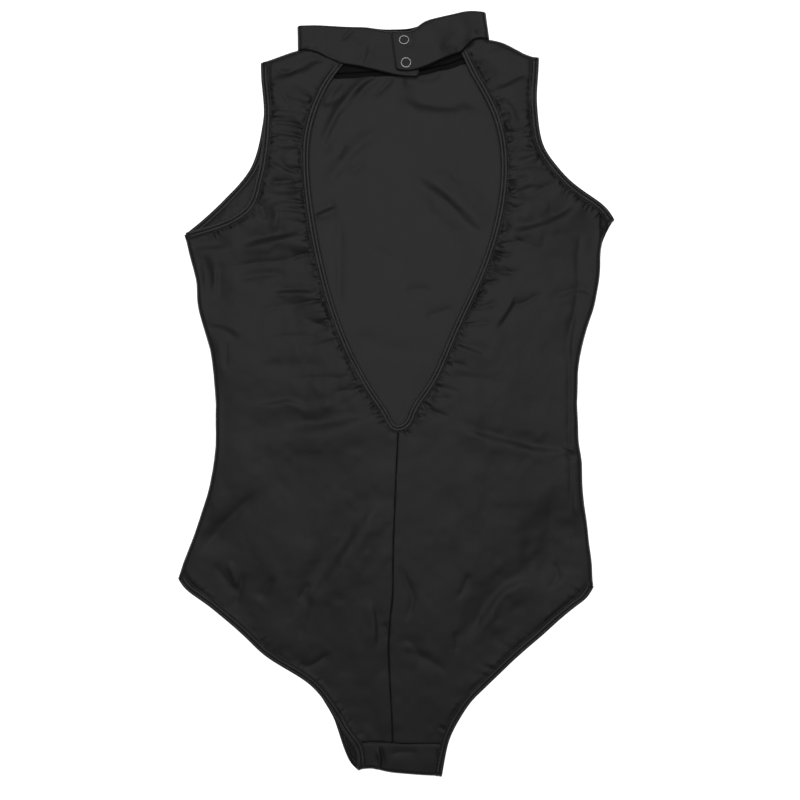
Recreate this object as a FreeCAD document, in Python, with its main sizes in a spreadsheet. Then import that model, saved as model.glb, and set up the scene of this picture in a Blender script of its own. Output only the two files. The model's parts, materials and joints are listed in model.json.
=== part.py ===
import FreeCAD, Part
import math
import os
import Sketcher
from FreeCAD import Vector

# Sleeveless gymnastics leotard with a stand collar and an open back, lying flat
# with its front panel underneath and its back panels on top. Millimetres.
# +X is towards the wearer's right side, +Y towards the collar, +Z up.
# The origin is the middle of the footprint, on the surface it lies on.

doc = FreeCAD.newDocument("gymnastics_leotard")

# ---------------------------------------------------------------- dimensions
sheet = doc.addObject("Spreadsheet::Sheet", "dims")
CELLS = [
    ("fabric_thick", 0.8, "knitted panel"),
    ("lip_thick", 0.5, "one turn of the binding"),
    ("elastic_thick", 0.5, "elastic inside a binding"),
    ("fit_gap", 0.05, "room over a panel inside its binding"),
    ("opening_gap", 4.5, "height left between front and back bindings"),
    ("binding_wide", 6.5, "binding width"),
    ("binding_fold", 1.0, "solid fold at a binding's outer edge"),
    ("panel_inset", 1.7, "panel edge to fold line, inside the binding"),
    ("elastic_near", 1.3, "elastic's outer edge to fold line"),
    ("elastic_far", 5.3, "elastic's inner edge to fold line"),
    ("wall_thick", 1.2, "turned-in seam allowances at the sides"),
    ("seam_half", 2.5, "half the width of an overlocked seam"),
    ("seam_thick", 0.8, "height of an overlocked seam"),
    ("lining_thick", 0.6, "gusset lining"),
    ("collar_thick", 1.8, "double collar band"),
    ("collar_skin", 0.6, "one layer of the collar band"),
    ("stiff_thick", 0.5, "collar stiffening"),
    ("overlap_gap", 2.0, "height between underlap and overlap"),
    ("ring_outer", 10.0, "outer diameter of a prong ring"),
    ("ring_inner", 6.6, "inner diameter of a prong ring"),
    ("ring_thick", 0.6, "thickness of a ring cap"),
    ("stud_ring_thick", 0.5, "thickness of a ring under the underlap"),
    ("prong_circle", 8.2, "pitch circle of the prongs"),
    ("prong_dia", 0.6, "prong diameter"),
    ("prong_hole", 0.8, "prong hole in the cloth"),
    ("cap_prong", 3.0, "prong length under a ring cap"),
    ("stud_prong", 2.0, "prong length over a stud ring"),
    ("socket_dia", 9.6, "socket diameter"),
    ("socket_thick", 1.5, "socket height"),
    ("socket_bore", 4.6, "socket bore"),
    ("socket_depth", 1.15, "socket bore depth"),
    ("flange_dia", 9.6, "stud flange diameter"),
    ("flange_thick", 0.4, "stud flange thickness"),
    ("stud_dia", 4.0, "stud head diameter"),
    ("stud_high", 1.0, "stud head height"),
]
VALUE = {}
for row, (alias, number, note) in enumerate(CELLS, start=1):
    sheet.set("A%d" % row, alias)
    sheet.set("B%d" % row, str(number))
    sheet.set("C%d" % row, note)
    sheet.setAlias("B%d" % row, alias)
doc.recompute()
for alias, number, note in CELLS:
    VALUE[alias] = float(sheet.get(alias))

# heights, as expressions on the sheet
BINDING = "(2 * dims.lip_thick + dims.elastic_thick + dims.fabric_thick + dims.fit_gap)"
SLOT = "(dims.elastic_thick + dims.fabric_thick + dims.fit_gap)"
FRONT = "dims.lip_thick"
FRONT_TOP = "(dims.lip_thick + dims.fabric_thick)"
BACK_BIND = "(%s + dims.opening_gap)" % BINDING
BACK_SLOT = "(%s + dims.lip_thick)" % BACK_BIND
BACK = "(%s + dims.elastic_thick)" % BACK_SLOT
BACK_TOP = "(%s + dims.fabric_thick)" % BACK
WALL = "(%s - %s)" % (BACK, FRONT_TOP)
UNDER = BACK
UNDER_TOP = "(%s + dims.collar_thick)" % UNDER
OVER = "(%s + dims.overlap_gap)" % UNDER_TOP
OVER_TOP = "(%s + dims.collar_thick)" % OVER

# ---------------------------------------------------------------- outline tables
# Points on the garment's sewn edges, in the order they are drawn round the garment.
OPENING = [(-47.7, 295.7), (-57.8, 282.5), (-66.4, 267.2), (-72.8, 251.0), (-76.9, 234.6), (-78.7, 216.8),
    (-78.2, 195.3), (-75.9, 172.5), (-72.5, 149.8), (-68.2, 127.4), (-63.0, 105.1), (-56.8, 83.0), (-49.4,
    61.3), (-40.7, 40.2), (-30.4, 19.7), (-18.5, 0.2), (-6.6, -18.1), (-1.6, -26.7), (1.1, -27.9), (5.3,
    -26.6), (8.9, -23.0), (12.6, -14.1), (18.3, -4.3), (28.8, 11.0), (38.1, 29.3), (47.0, 50.4), (56.3, 71.4),
    (66.0, 92.1), (75.2, 113.1), (82.8, 134.7), (88.7, 156.8), (92.6, 179.3), (94.3, 201.0), (93.5, 220.2),
    (90.5, 237.4), (85.5, 252.8), (76.9, 270.3), (65.6, 290.2), (58.1, 306.4)]
ARM_BACK_L = [(-121.5, 297.0), (-120.0, 274.9), (-118.5, 252.4), (-118.8, 232.4), (-121.5, 213.0), (-126.5,
    191.0), (-130.5, 176.6), (-134.6, 169.6), (-141.2, 163.4), (-151.6, 157.3), (-167.5, 151.2), (-188.6,
    144.9)]
ARM_FRONT_L = [(-121.5, 297.0), (-121.0, 282.3), (-119.0, 261.7), (-119.4, 245.0), (-122.0, 228.4), (-126.5,
    213.6), (-132.8, 200.7), (-141.8, 187.9), (-154.8, 173.9), (-171.6, 159.0), (-188.6, 144.9)]
ARM_BACK_R = [(127.8, 301.1), (126.5, 278.1), (126.3, 255.6), (128.1, 238.2), (131.9, 224.6), (137.4, 213.2),
    (145.9, 201.9), (158.7, 189.5), (176.8, 175.3), (188.9, 165.2), (195.3, 157.1)]
ARM_FRONT_R = [(127.8, 301.1), (124.3, 280.3), (123.0, 261.4), (123.9, 245.1), (126.7, 231.2), (131.2, 219.4),
    (137.8, 208.2), (147.4, 196.5), (161.2, 183.4), (178.3, 169.9), (195.3, 157.1)]
SIDE_L = [(-188.6, 138.2), (-183.2, 119.3), (-179.4, 97.8), (-176.2, 76.3), (-171.3, 54.6), (-166.5, 32.9),
    (-163.4, 10.8), (-161.8, -11.4), (-161.7, -33.7), (-163.3, -55.9), (-166.7, -77.9), (-172.1, -99.5),
    (-179.3, -120.6), (-187.1, -141.4), (-194.4, -162.5)]
SIDE_R = [(191.7, 150.8), (187.2, 141.6), (184.1, 129.5), (181.7, 109.1), (179.0, 88.3), (173.9, 68.8),
    (167.5, 47.4), (163.9, 29.7), (162.3, 8.8), (162.2, -13.6), (163.0, -36.0), (164.6, -58.4), (166.8,
    -80.7), (169.3, -103.0), (171.9, -125.3), (174.4, -147.6), (176.7, -169.7)]
LEG_BACK_L = [(-195.3, -166.5), (-189.2, -174.7), (-178.8, -183.9), (-161.3, -196.9), (-144.2, -211.1),
    (-128.2, -226.3), (-114.8, -237.5), (-98.2, -247.9), (-82.9, -257.9), (-72.4, -267.3), (-62.7, -279.2),
    (-51.7, -296.6), (-41.3, -314.6), (-36.3, -326.6), (-34.2, -336.6)]
LEG_FRONT_L = [(-195.3, -166.5), (-180.1, -173.6), (-164.1, -183.9), (-146.4, -198.4), (-129.1, -214.0),
    (-111.6, -229.3), (-94.0, -244.4), (-78.5, -259.8), (-67.7, -273.8), (-57.5, -291.3), (-47.8, -312.4),
    (-40.2, -328.6), (-34.2, -336.6)]
LEG_BACK_R = [(176.8, -173.7), (165.2, -186.8), (148.2, -202.4), (130.4, -217.4), (112.8, -232.7), (95.6,
    -248.4), (78.9, -264.7), (64.3, -281.1), (54.5, -295.4), (47.9, -309.4), (43.1, -325.3), (40.5, -342.9)]
LEG_FRONT_R = [(176.8, -173.7), (157.8, -186.1), (139.2, -200.1), (121.3, -215.0), (104.0, -230.4), (87.1,
    -246.5), (71.6, -263.5), (59.6, -280.1), (50.7, -296.2), (44.7, -312.0), (41.4, -327.6), (40.5, -342.9)]
SHOULDER_L = [(-117.0, 299.2), (-105.0, 303.6), (-87.3, 308.7)]
SHOULDER_R = [(123.3, 302.6), (114.4, 305.7), (99.6, 313.2), (90.1, 316.9), (82.4, 318.2)]
NECK_L = [(-87.3, 308.7), (-79.8, 308.8), (-71.2, 306.7), (-57.8, 300.2), (-47.7, 296.1)]
NECK_R = [(58.1, 306.9), (63.6, 313.0), (67.8, 317.0), (72.3, 318.9), (77.5, 319.4), (82.4, 318.2)]
NECK_F = [(-87.3, 308.7), (-76.5, 298.3), (-65.5, 290.8), (-54.8, 286.3), (-43.5, 284.2), (-25.4, 284.2),
    (-2.3, 285.0), (20.6, 286.0), (37.8, 288.3), (50.7, 292.3), (61.7, 298.2), (72.5, 307.0), (82.4, 318.2)]
CB_SEAM = [(1.8, -27.9), (0.7, -50.1), (-0.2, -72.5), (-1.2, -94.8), (-2.2, -117.1), (-2.9, -139.5), (-3.1,
    -161.8), (-3.5, -182.9), (-5.9, -204.2), (-7.0, -224.8), (-6.5, -247.1), (-5.2, -269.4), (-4.0, -291.8),
    (-3.6, -314.1)]
CROTCH_B = [(-41.4, -313.8), (-23.9, -313.1), (-0.5, -314.2), (22.8, -314.6), (46.2, -314.1)]
CROTCH_F = [(-52.2, -301.5), (-32.0, -302.3), (-11.9, -302.8), (8.3, -302.8), (28.5, -302.3), (48.6, -301.1)]
GUSSET_END = [(-34.2, -337.5), (-21.9, -337.4), (-2.7, -340.0), (19.0, -342.7), (40.5, -343.8)]
COLLAR_TOP_L = [(-88.2, 330.8), (-66.6, 330.5), (-44.9, 329.3), (-23.3, 327.8), (-1.7, 326.5), (19.8, 325.8)]
COLLAR_LOW_L = [(-47.7, 296.1), (-31.6, 293.5), (-10.9, 288.4), (6.8, 285.0), (19.8, 284.4)]
COLLAR_TOP_R = [(-5.4, 326.7), (8.6, 326.9), (15.7, 328.8), (25.3, 334.0), (36.0, 337.5), (56.5, 341.7),
    (70.3, 343.6), (79.7, 342.9)]
COLLAR_LOW_R = [(-0.5, 290.7), (7.7, 289.5), (16.6, 290.4), (27.7, 293.9), (45.3, 301.9), (58.1, 306.9)]
COLLAR_TOP_F = [(-88.2, 330.8), (-67.3, 329.7), (-46.1, 329.0), (-24.9, 328.9), (-3.7, 329.9), (17.4, 332.1),
    (38.4, 335.6), (59.2, 339.5), (79.7, 342.9)]

# ---------------------------------------------------------------- curve helpers
class Edge:
    """A smooth line through a table of points, which can be read at an offset.
    Positive offsets lie to the right of the direction of travel."""

    def __init__(self, table):
        self.table = [(float(a), float(b)) for a, b in table]
        if len(self.table) == 2:
            curve = Part.LineSegment(Vector(*self.table[0], 0), Vector(*self.table[1], 0))
        else:
            curve = Part.BSplineCurve()
            curve.interpolate([Vector(a, b, 0) for a, b in self.table])
        shape = curve.toShape()
        count = max(8, int(shape.Length / 1.5))
        self.rows = []
        span = curve.LastParameter - curve.FirstParameter
        run = 0.0
        last = None
        for i in range(count + 1):
            u = curve.FirstParameter + span * i / count
            p = curve.value(u)
            d = curve.tangent(u)[0]
            if last is not None:
                run += (p - last).Length
            self.rows.append((run, p.x, p.y, d.x, d.y))
            last = p
        self.length = run
        self.nodes = []
        for a, b in self.table:
            best = min(self.rows, key=lambda r: (r[1] - a) ** 2 + (r[2] - b) ** 2)
            self.nodes.append(best[0])
        self.nodes[0], self.nodes[-1] = 0.0, run

    def at(self, s, off=0.0):
        rows = self.rows
        if s <= 0:
            r = rows[0]
            return (r[1] + s * r[3] + off * r[4], r[2] + s * r[4] - off * r[3])
        if s >= self.length:
            r = rows[-1]
            e = s - self.length
            return (r[1] + e * r[3] + off * r[4], r[2] + e * r[4] - off * r[3])
        lo, hi = 0, len(rows) - 1
        while hi - lo > 1:
            mid = (lo + hi) // 2
            if rows[mid][0] <= s:
                lo = mid
            else:
                hi = mid
        a, b = rows[lo], rows[hi]
        k = (s - a[0]) / (b[0] - a[0])
        x, y = a[1] + k * (b[1] - a[1]), a[2] + k * (b[2] - a[2])
        dx, dy = a[3] + k * (b[3] - a[3]), a[4] + k * (b[4] - a[4])
        n = math.hypot(dx, dy)
        return (x + off * dy / n, y - off * dx / n)

    def dense(self, off, ext=12.0):
        out = [(-ext, self.at(-ext, off))]
        out += [(r[0], (r[1] + off * r[4], r[2] - off * r[3])) for r in self.rows]
        out.append((self.length + ext, self.at(self.length + ext, off)))
        return out

    def between(self, s0, s1, off=0.0):
        """Points from s0 to s1 through the table's own stations."""
        lo, hi = min(s0, s1), max(s0, s1)
        gap = min(2.5, (hi - lo) / 4)
        inner = [s for s in self.nodes if lo + gap < s < hi - gap]
        if len(self.table) > 2:
            marks = [lo] + inner + [hi]
            if len(marks) == 2:
                marks = [lo, (lo + hi) / 2, hi]
        else:
            marks = [lo, hi]
        if s0 > s1:
            marks.reverse()
        return [self.at(s, off) for s in marks]


def cross(p, q, r, t):
    ax, ay = q[0] - p[0], q[1] - p[1]
    bx, by = t[0] - r[0], t[1] - r[1]
    det = ax * by - ay * bx
    if abs(det) < 1e-12:
        return None
    cx, cy = r[0] - p[0], r[1] - p[1]
    k = (cx * by - cy * bx) / det
    m = (cx * ay - cy * ax) / det
    if -1e-9 <= k <= 1 + 1e-9 and -1e-9 <= m <= 1 + 1e-9:
        return k, m
    return None


def meet(first, off1, second, off2, near):
    """Where two offset lines cross, nearest to a point."""
    a, b = first.dense(off1), second.dense(off2)
    best = None
    for i in range(len(a) - 1):
        for j in range(len(b) - 1):
            hit = cross(a[i][1], a[i + 1][1], b[j][1], b[j + 1][1])
            if hit:
                k, m = hit
                p = (a[i][1][0] + k * (a[i + 1][1][0] - a[i][1][0]),
                     a[i][1][1] + k * (a[i + 1][1][1] - a[i][1][1]))
                s1 = a[i][0] + k * (a[i + 1][0] - a[i][0])
                s2 = b[j][0] + m * (b[j + 1][0] - b[j][0])
                d = math.hypot(p[0] - near[0], p[1] - near[1])
                if best is None or d < best[0]:
                    best = (d, p, s1, s2)
    if best is None:
        raise RuntimeError("two edges do not meet near %s" % (near,))
    return best[1:]


def loop(chain):
    """chain: (edge, offset, +1 or -1) round an outline. Returns its segments."""
    count = len(chain)
    corners = []
    for i in range(count):
        e1, o1, d1 = chain[i]
        e2, o2, d2 = chain[(i + 1) % count]
        near1 = e1.at(e1.length if d1 > 0 else 0.0, o1)
        near2 = e2.at(0.0 if d2 > 0 else e2.length, o2)
        near = ((near1[0] + near2[0]) / 2, (near1[1] + near2[1]) / 2)
        corners.append(meet(e1, o1, e2, o2, near))
    out = []
    for i in range(count):
        edge, off, way = chain[i]
        start, end = corners[i - 1], corners[i]
        pts = edge.between(start[2], end[1], off)
        pts[0], pts[-1] = start[0], end[0]
        out.append(pts)
    return out


def lane(edge, near, far, s0=0.0, s1=None):
    """The strip along an edge between two offsets."""
    if s1 is None:
        s1 = edge.length
    a = edge.between(s0, s1, near)
    b = edge.between(s1, s0, far)
    return [a, [a[-1], b[0]], b, [b[-1], a[0]]]


def patch(edge, s0, s1, near, far):
    """A straight-sided block footprint in an edge's own directions."""
    p = [edge.at(s0, near), edge.at(s1, near), edge.at(s1, far), edge.at(s0, far)]
    return [[p[0], p[1]], [p[1], p[2]], [p[2], p[3]], [p[3], p[0]]]


# ---------------------------------------------------------------- feature helpers
def new_body(label):
    b = doc.addObject("PartDesign::Body", label)
    b.Label = label
    if hasattr(b, "AllowCompound"):
        b.AllowCompound = True
    b.Placement = FreeCAD.Placement(Vector(0, 0, 0), FreeCAD.Rotation())
    return b


def new_sketch(b, name, level):
    sk = b.newObject("Sketcher::SketchObject", name)
    base = [f for f in b.Origin.OriginFeatures if f.Role == "XY_Plane"][0]
    sk.AttachmentSupport = [(base, "")]
    sk.MapMode = "FlatFace"
    sk.setExpression(".AttachmentOffset.Base.z", level)
    return sk


def draw(sk, segments):
    for pts in segments:
        if len(pts) == 2:
            g = Part.LineSegment(Vector(*pts[0], 0), Vector(*pts[1], 0))
        else:
            g = Part.BSplineCurve()
            g.interpolate([Vector(a, b, 0) for a, b in pts])
        i = sk.addGeometry(g, False)
        sk.addConstraint(Sketcher.Constraint("Block", i))


def circles(sk, centres, size):
    """Circles whose diameters follow a cell of the sheet."""
    for x, y in centres:
        i = sk.addGeometry(Part.Circle(Vector(x, y, 0), Vector(0, 0, 1), VALUE[size] / 2), False)
        n = sk.addConstraint(Sketcher.Constraint("Diameter", i, VALUE[size]))
        sk.setExpression("Constraints[%d]" % n, "dims." + size)
        sk.addConstraint(Sketcher.Constraint("DistanceX", -1, 1, i, 3, x))
        sk.addConstraint(Sketcher.Constraint("DistanceY", -1, 1, i, 3, y))


def pad(b, name, shapes, level, height, rings=None):
    sk = new_sketch(b, name + "_sketch", level)
    for s in shapes:
        draw(sk, s)
    for centres, size in (rings or []):
        circles(sk, centres, size)
    f = b.newObject("PartDesign::Pad", name)
    f.Profile = sk
    f.setExpression("Length", height)
    return f


def pocket(b, name, shapes, level, height, rings=None):
    """Cuts upwards from its sketch plane."""
    doc.recompute()
    before = b.Shape.Volume
    sk = new_sketch(b, name + "_sketch", level)
    for s in shapes:
        draw(sk, s)
    for centres, size in (rings or []):
        circles(sk, centres, size)
    f = b.newObject("PartDesign::Pocket", name)
    f.Profile = sk
    f.Reversed = True
    f.setExpression("Length", height)
    doc.recompute()
    after = b.Shape.Volume
    if not after < before - 1e-3:
        raise RuntimeError("%s cut nothing" % name)
    return f


E = {}
for key in ("OPENING ARM_BACK_L ARM_FRONT_L ARM_BACK_R ARM_FRONT_R SIDE_L SIDE_R LEG_BACK_L LEG_FRONT_L "
            "LEG_BACK_R LEG_FRONT_R SHOULDER_L SHOULDER_R NECK_L NECK_R NECK_F CB_SEAM CROTCH_B CROTCH_F "
            "GUSSET_END COLLAR_TOP_L COLLAR_LOW_L COLLAR_TOP_R COLLAR_LOW_R COLLAR_TOP_F").split():
    E[key] = Edge(globals()[key])
E["FOLD_L"] = Edge([COLLAR_TOP_F[0], NECK_F[0]])
E["FOLD_R"] = Edge([COLLAR_TOP_F[-1], NECK_F[-1]])

INSET = VALUE["panel_inset"]
HAIR = 0.1

# which side of each line is cloth: +1 right of travel, -1 left of travel
IN = {"OPENING": 1, "ARM_BACK_L": -1, "ARM_FRONT_L": -1, "ARM_BACK_R": 1, "ARM_FRONT_R": 1,
      "SIDE_L": -1, "SIDE_R": 1, "LEG_BACK_L": -1, "LEG_FRONT_L": -1, "LEG_BACK_R": 1,
      "LEG_FRONT_R": 1, "SHOULDER_L": 1, "SHOULDER_R": -1, "NECK_L": 1, "NECK_R": 1, "NECK_F": 1,
      "GUSSET_END": -1}


def edge(name, inside, way=1):
    """An edge moved inside the cloth by a distance."""
    return (E[name], IN[name] * inside, way)


# ---------------------------------------------------------------- panels
front = new_body("front_panel")
pad(front, "front_cloth", [loop([
    edge("NECK_F", HAIR), edge("SHOULDER_R", 0.0, -1), edge("ARM_FRONT_R", INSET), edge("SIDE_R", 0.0),
    edge("LEG_FRONT_R", INSET), (E["CROTCH_F"], -HAIR, -1), edge("LEG_FRONT_L", INSET, -1),
    edge("SIDE_L", 0.0, -1), edge("ARM_FRONT_L", INSET, -1), edge("SHOULDER_L", 0.0)])],
    FRONT, "dims.fabric_thick")

left = new_body("left_back_panel")
pad(left, "left_cloth", [loop([
    edge("NECK_L", HAIR), edge("OPENING", INSET), (E["CB_SEAM"], HAIR, 1), (E["CROTCH_B"], -HAIR, -1),
    edge("LEG_BACK_L", INSET, -1), edge("SIDE_L", 0.0, -1), edge("ARM_BACK_L", INSET, -1),
    edge("SHOULDER_L", 0.0)])], BACK, "dims.fabric_thick")

right = new_body("right_back_panel")
pad(right, "right_cloth", [loop([
    edge("NECK_R", HAIR), edge("SHOULDER_R", 0.0, -1), edge("ARM_BACK_R", INSET), edge("SIDE_R", 0.0),
    edge("LEG_BACK_R", INSET), (E["CROTCH_B"], -HAIR, -1), (E["CB_SEAM"], -HAIR, -1),
    edge("OPENING", INSET)])], BACK, "dims.fabric_thick")

# ---------------------------------------------------------------- gusset and lining
gusset = new_body("crotch_gusset")
pad(gusset, "gusset_back", [loop([
    (E["CROTCH_B"], HAIR, 1), edge("LEG_BACK_R", INSET), edge("GUSSET_END", 0.0, -1),
    edge("LEG_BACK_L", INSET, -1)])], BACK, "dims.fabric_thick")
span = E["GUSSET_END"].length
pad(gusset, "gusset_turn", [lane(E["GUSSET_END"], -0.3, -1.1, 9.0, span - 9.0)], FRONT_TOP, WALL)
pad(gusset, "gusset_front", [loop([
    (E["CROTCH_F"], HAIR, 1), edge("LEG_FRONT_R", INSET), edge("GUSSET_END", 0.0, -1),
    edge("LEG_FRONT_L", INSET, -1)])], FRONT, "dims.fabric_thick")

lining = new_body("gusset_lining")
pad(lining, "lining_back", [loop([
    (E["CROTCH_B"], 3.2, 1), edge("LEG_BACK_R", 8.0), edge("GUSSET_END", 1.4, -1),
    edge("LEG_BACK_L", 8.0, -1)])], "%s - dims.lining_thick" % BACK, "dims.lining_thick")
pad(lining, "lining_turn", [lane(E["GUSSET_END"], -1.7, -2.3, 14.0, span - 14.0)],
    FRONT_TOP, WALL)
pad(lining, "lining_front", [loop([
    (E["CROTCH_F"], 3.2, 1), edge("LEG_FRONT_R", 8.0), edge("GUSSET_END", 1.4, -1),
    edge("LEG_FRONT_L", 8.0, -1)])], FRONT_TOP, "dims.lining_thick")

# ---------------------------------------------------------------- bound armholes and legs
WIDE = VALUE["binding_wide"]
FOLD = VALUE["binding_fold"]
NEAR, FAR = VALUE["elastic_near"], VALUE["elastic_far"]


def mean_edge(a, b, at_end):
    """A short straight guide between the two layers' directions at a shared corner."""
    s = 8.0
    if at_end:
        pa, pb = a.at(a.length - s), b.at(b.length - s)
        start = a.at(a.length)
    else:
        pa, pb = a.at(s), b.at(s)
        start = a.at(0.0)
    mid = ((pa[0] + pb[0]) / 2, (pa[1] + pb[1]) / 2)
    return Edge([mid, start]) if at_end else Edge([start, mid])


def bound_loop(label, back, fore):
    a, b = E[back], E[fore]
    side = IN[back]
    ends = [mean_edge(a, b, False), mean_edge(a, b, True)]
    spots = [(0.0, 2.6), (ends[1].length - 2.6, ends[1].length)]
    links = [(0.9, 1.7), (ends[1].length - 1.7, ends[1].length - 0.9)]
    binding = new_body(label + "_binding")
    pad(binding, "back_strip", [lane(a, 0.0, side * WIDE)], BACK_BIND, BINDING)
    for i in (0, 1):
        pad(binding, "turn_%d" % (i + 1), [patch(ends[i], spots[i][0], spots[i][1], side * 0.3, side * (WIDE - 0.4))],
            BINDING, "dims.opening_gap")
    pad(binding, "front_strip", [lane(b, 0.0, side * WIDE)], "0", BINDING)
    pocket(binding, "back_slot", [lane(a, side * FOLD, side * (WIDE + 3), -3.0, a.length + 3.0)], BACK_SLOT, SLOT)
    pocket(binding, "front_slot", [lane(b, side * FOLD, side * (WIDE + 3), -3.0, b.length + 3.0)],
           "dims.lip_thick", SLOT)
    for i in (0, 1):
        pocket(binding, "channel_%d" % (i + 1),
               [patch(ends[i], links[i][0] - 0.2, links[i][1] + 0.2, side * 1.6, side * 4.8)],
               "%s - dims.lip_thick" % BINDING, "dims.opening_gap + 2 * dims.lip_thick")
    elastic = new_body(label + "_elastic")
    pad(elastic, "back_band", [lane(a, side * NEAR, side * FAR, 0.3, a.length - 0.3)], BACK_SLOT, "dims.elastic_thick")
    for i in (0, 1):
        pad(elastic, "riser_%d" % (i + 1), [patch(ends[i], links[i][0], links[i][1], side * 1.9, side * 4.5)],
            "%s - dims.lip_thick" % BINDING + " - dims.fit_gap", "dims.opening_gap + 2 * dims.lip_thick + dims.fit_gap")
    pad(elastic, "front_band", [lane(b, side * NEAR, side * FAR, 0.3, b.length - 0.3)], FRONT_TOP, "dims.elastic_thick")
    return binding, elastic


bound_loop("left_armhole", "ARM_BACK_L", "ARM_FRONT_L")
bound_loop("right_armhole", "ARM_BACK_R", "ARM_FRONT_R")
bound_loop("left_leg", "LEG_BACK_L", "LEG_FRONT_L")
bound_loop("right_leg", "LEG_BACK_R", "LEG_FRONT_R")

# ---------------------------------------------------------------- bound back opening
op = E["OPENING"]
opening = new_body("back_opening_binding")
pad(opening, "opening_strip", [lane(op, 0.0, WIDE, 4.0, op.length)], BACK_BIND, BINDING)
pocket(opening, "opening_slot", [lane(op, FOLD, WIDE + 3, 1.0, op.length + 3.0)], BACK_SLOT, SLOT)
stretch = new_body("back_opening_elastic")
pad(stretch, "opening_band", [lane(op, NEAR, FAR, 5.0, op.length - 1.0)], BACK_SLOT, "dims.elastic_thick")

# ---------------------------------------------------------------- seams
THICK = VALUE["wall_thick"]
HALF = VALUE["seam_half"]
for label, key in (("left_side_seam", "SIDE_L"), ("right_side_seam", "SIDE_R")):
    seam = new_body(label)
    pad(seam, "turned_edge", [lane(E[key], 0.0, IN[key] * THICK, 9.0, E[key].length - 9.0)], FRONT_TOP, WALL)
for label, key in (("left_shoulder_seam", "SHOULDER_L"), ("right_shoulder_seam", "SHOULDER_R")):
    seam = new_body(label)
    if key == "SHOULDER_L":
        s0, s1 = 4.0, E[key].length - 4.5
    else:
        s0, s1 = 4.0, E[key].length - 4.5
    pad(seam, "turned_edge", [lane(E[key], 0.0, IN[key] * THICK, s0, s1)], FRONT_TOP, WALL)
seam = new_body("centre_back_seam")
pad(seam, "overlock", [lane(E["CB_SEAM"], -HALF, HALF, 7.5, E["CB_SEAM"].length - 3.0)],
    "%s - dims.seam_thick" % BACK, "dims.seam_thick")
for label, key, level in (("back_crotch_seam", "CROTCH_B", "%s - dims.seam_thick" % BACK),
                          ("front_crotch_seam", "CROTCH_F", FRONT_TOP)):
    seam = new_body(label)
    other = "BACK" if key == "CROTCH_B" else "FRONT"
    pad(seam, "overlock", [loop([
        (E[key], -HALF, 1), edge("LEG_%s_R" % other, WIDE + 0.5), (E[key], HALF, -1),
        edge("LEG_%s_L" % other, WIDE + 0.5, -1)])], level, "dims.seam_thick")
seam = new_body("front_neck_seam")
pad(seam, "overlock", [lane(E["NECK_F"], HAIR, 3.2, 6.0, E["NECK_F"].length - 6.0)], FRONT_TOP, "dims.elastic_thick")
seam = new_body("left_back_neck_seam")
pad(seam, "overlock", [lane(E["NECK_L"], -1.5, 1.5, 5.0, E["NECK_L"].length - 8.0)],
    "%s - dims.seam_thick" % BACK, "dims.seam_thick")
seam = new_body("right_back_neck_seam")
pad(seam, "overlock", [lane(E["NECK_R"], -1.2, 1.2, 8.0, E["NECK_R"].length - 4.0)],
    BACK_TOP, "%s - %s" % (OVER, BACK_TOP))

# ---------------------------------------------------------------- collar
# hinge lines across the band, where each free end starts
HINGE_L = Edge([(-45.9, 335.0), (-45.9, 290.0)])
HINGE_R = Edge([(58.0, 350.0), (58.0, 300.0)])
collar = new_body("collar_band")
pad(collar, "front_half", [loop([
    (E["COLLAR_TOP_F"], 0.0, 1), (E["FOLD_R"], 0.0, 1), edge("NECK_F", 0.0, -1), (E["FOLD_L"], 0.0, -1)])],
    "0", "dims.collar_thick")
pad(collar, "left_fold", [lane(E["FOLD_L"], 0.0, -1.8, 0.4, E["FOLD_L"].length - 0.6)],
    "dims.collar_thick", "%s - dims.collar_thick" % UNDER)
pad(collar, "left_root", [loop([
    (E["COLLAR_TOP_L"], 0.0, 1), (HINGE_L, 0.2, 1), edge("NECK_L", 0.0, -1), (E["FOLD_L"], 0.0, -1)])],
    UNDER, "dims.collar_thick")
pad(collar, "right_fold", [lane(E["FOLD_R"], 0.0, 1.8, 0.6, E["FOLD_R"].length - 0.9)],
    "dims.collar_thick", "%s - dims.collar_thick" % OVER)
pad(collar, "right_root", [loop([
    (E["COLLAR_TOP_R"], 0.0, 1), (E["FOLD_R"], 0.0, 1), edge("NECK_R", 0.0, -1), (HINGE_R, -0.2, -1)])],
    OVER, "dims.collar_thick")
pocket(collar, "stiffening_slot", [loop([
    (E["COLLAR_TOP_F"], 3.0, 1), (E["FOLD_R"], 4.0, 1), edge("NECK_F", 1.0, -1), (E["FOLD_L"], -4.0, -1)])],
    "dims.collar_skin", "dims.stiff_thick + dims.fit_gap")
stiff = new_body("collar_interfacing")
pad(stiff, "stiffening", [loop([
    (E["COLLAR_TOP_F"], 3.4, 1), (E["FOLD_R"], 4.4, 1), edge("NECK_F", -0.6, -1), (E["FOLD_L"], -4.4, -1)])],
    "dims.collar_skin", "dims.stiff_thick")

SNAPS = [(6.75, 318.15), (8.55, 297.0)]
PRONGS = []
for x, y in SNAPS:
    for k in range(5):
        angle = math.radians(90 + 72 * k)
        r = VALUE["prong_circle"] / 2
        PRONGS.append((x + r * math.cos(angle), y + r * math.sin(angle)))

END_R = Edge([COLLAR_TOP_R[0], COLLAR_LOW_R[0]])
END_L = Edge([COLLAR_TOP_L[-1], COLLAR_LOW_L[-1]])


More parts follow.
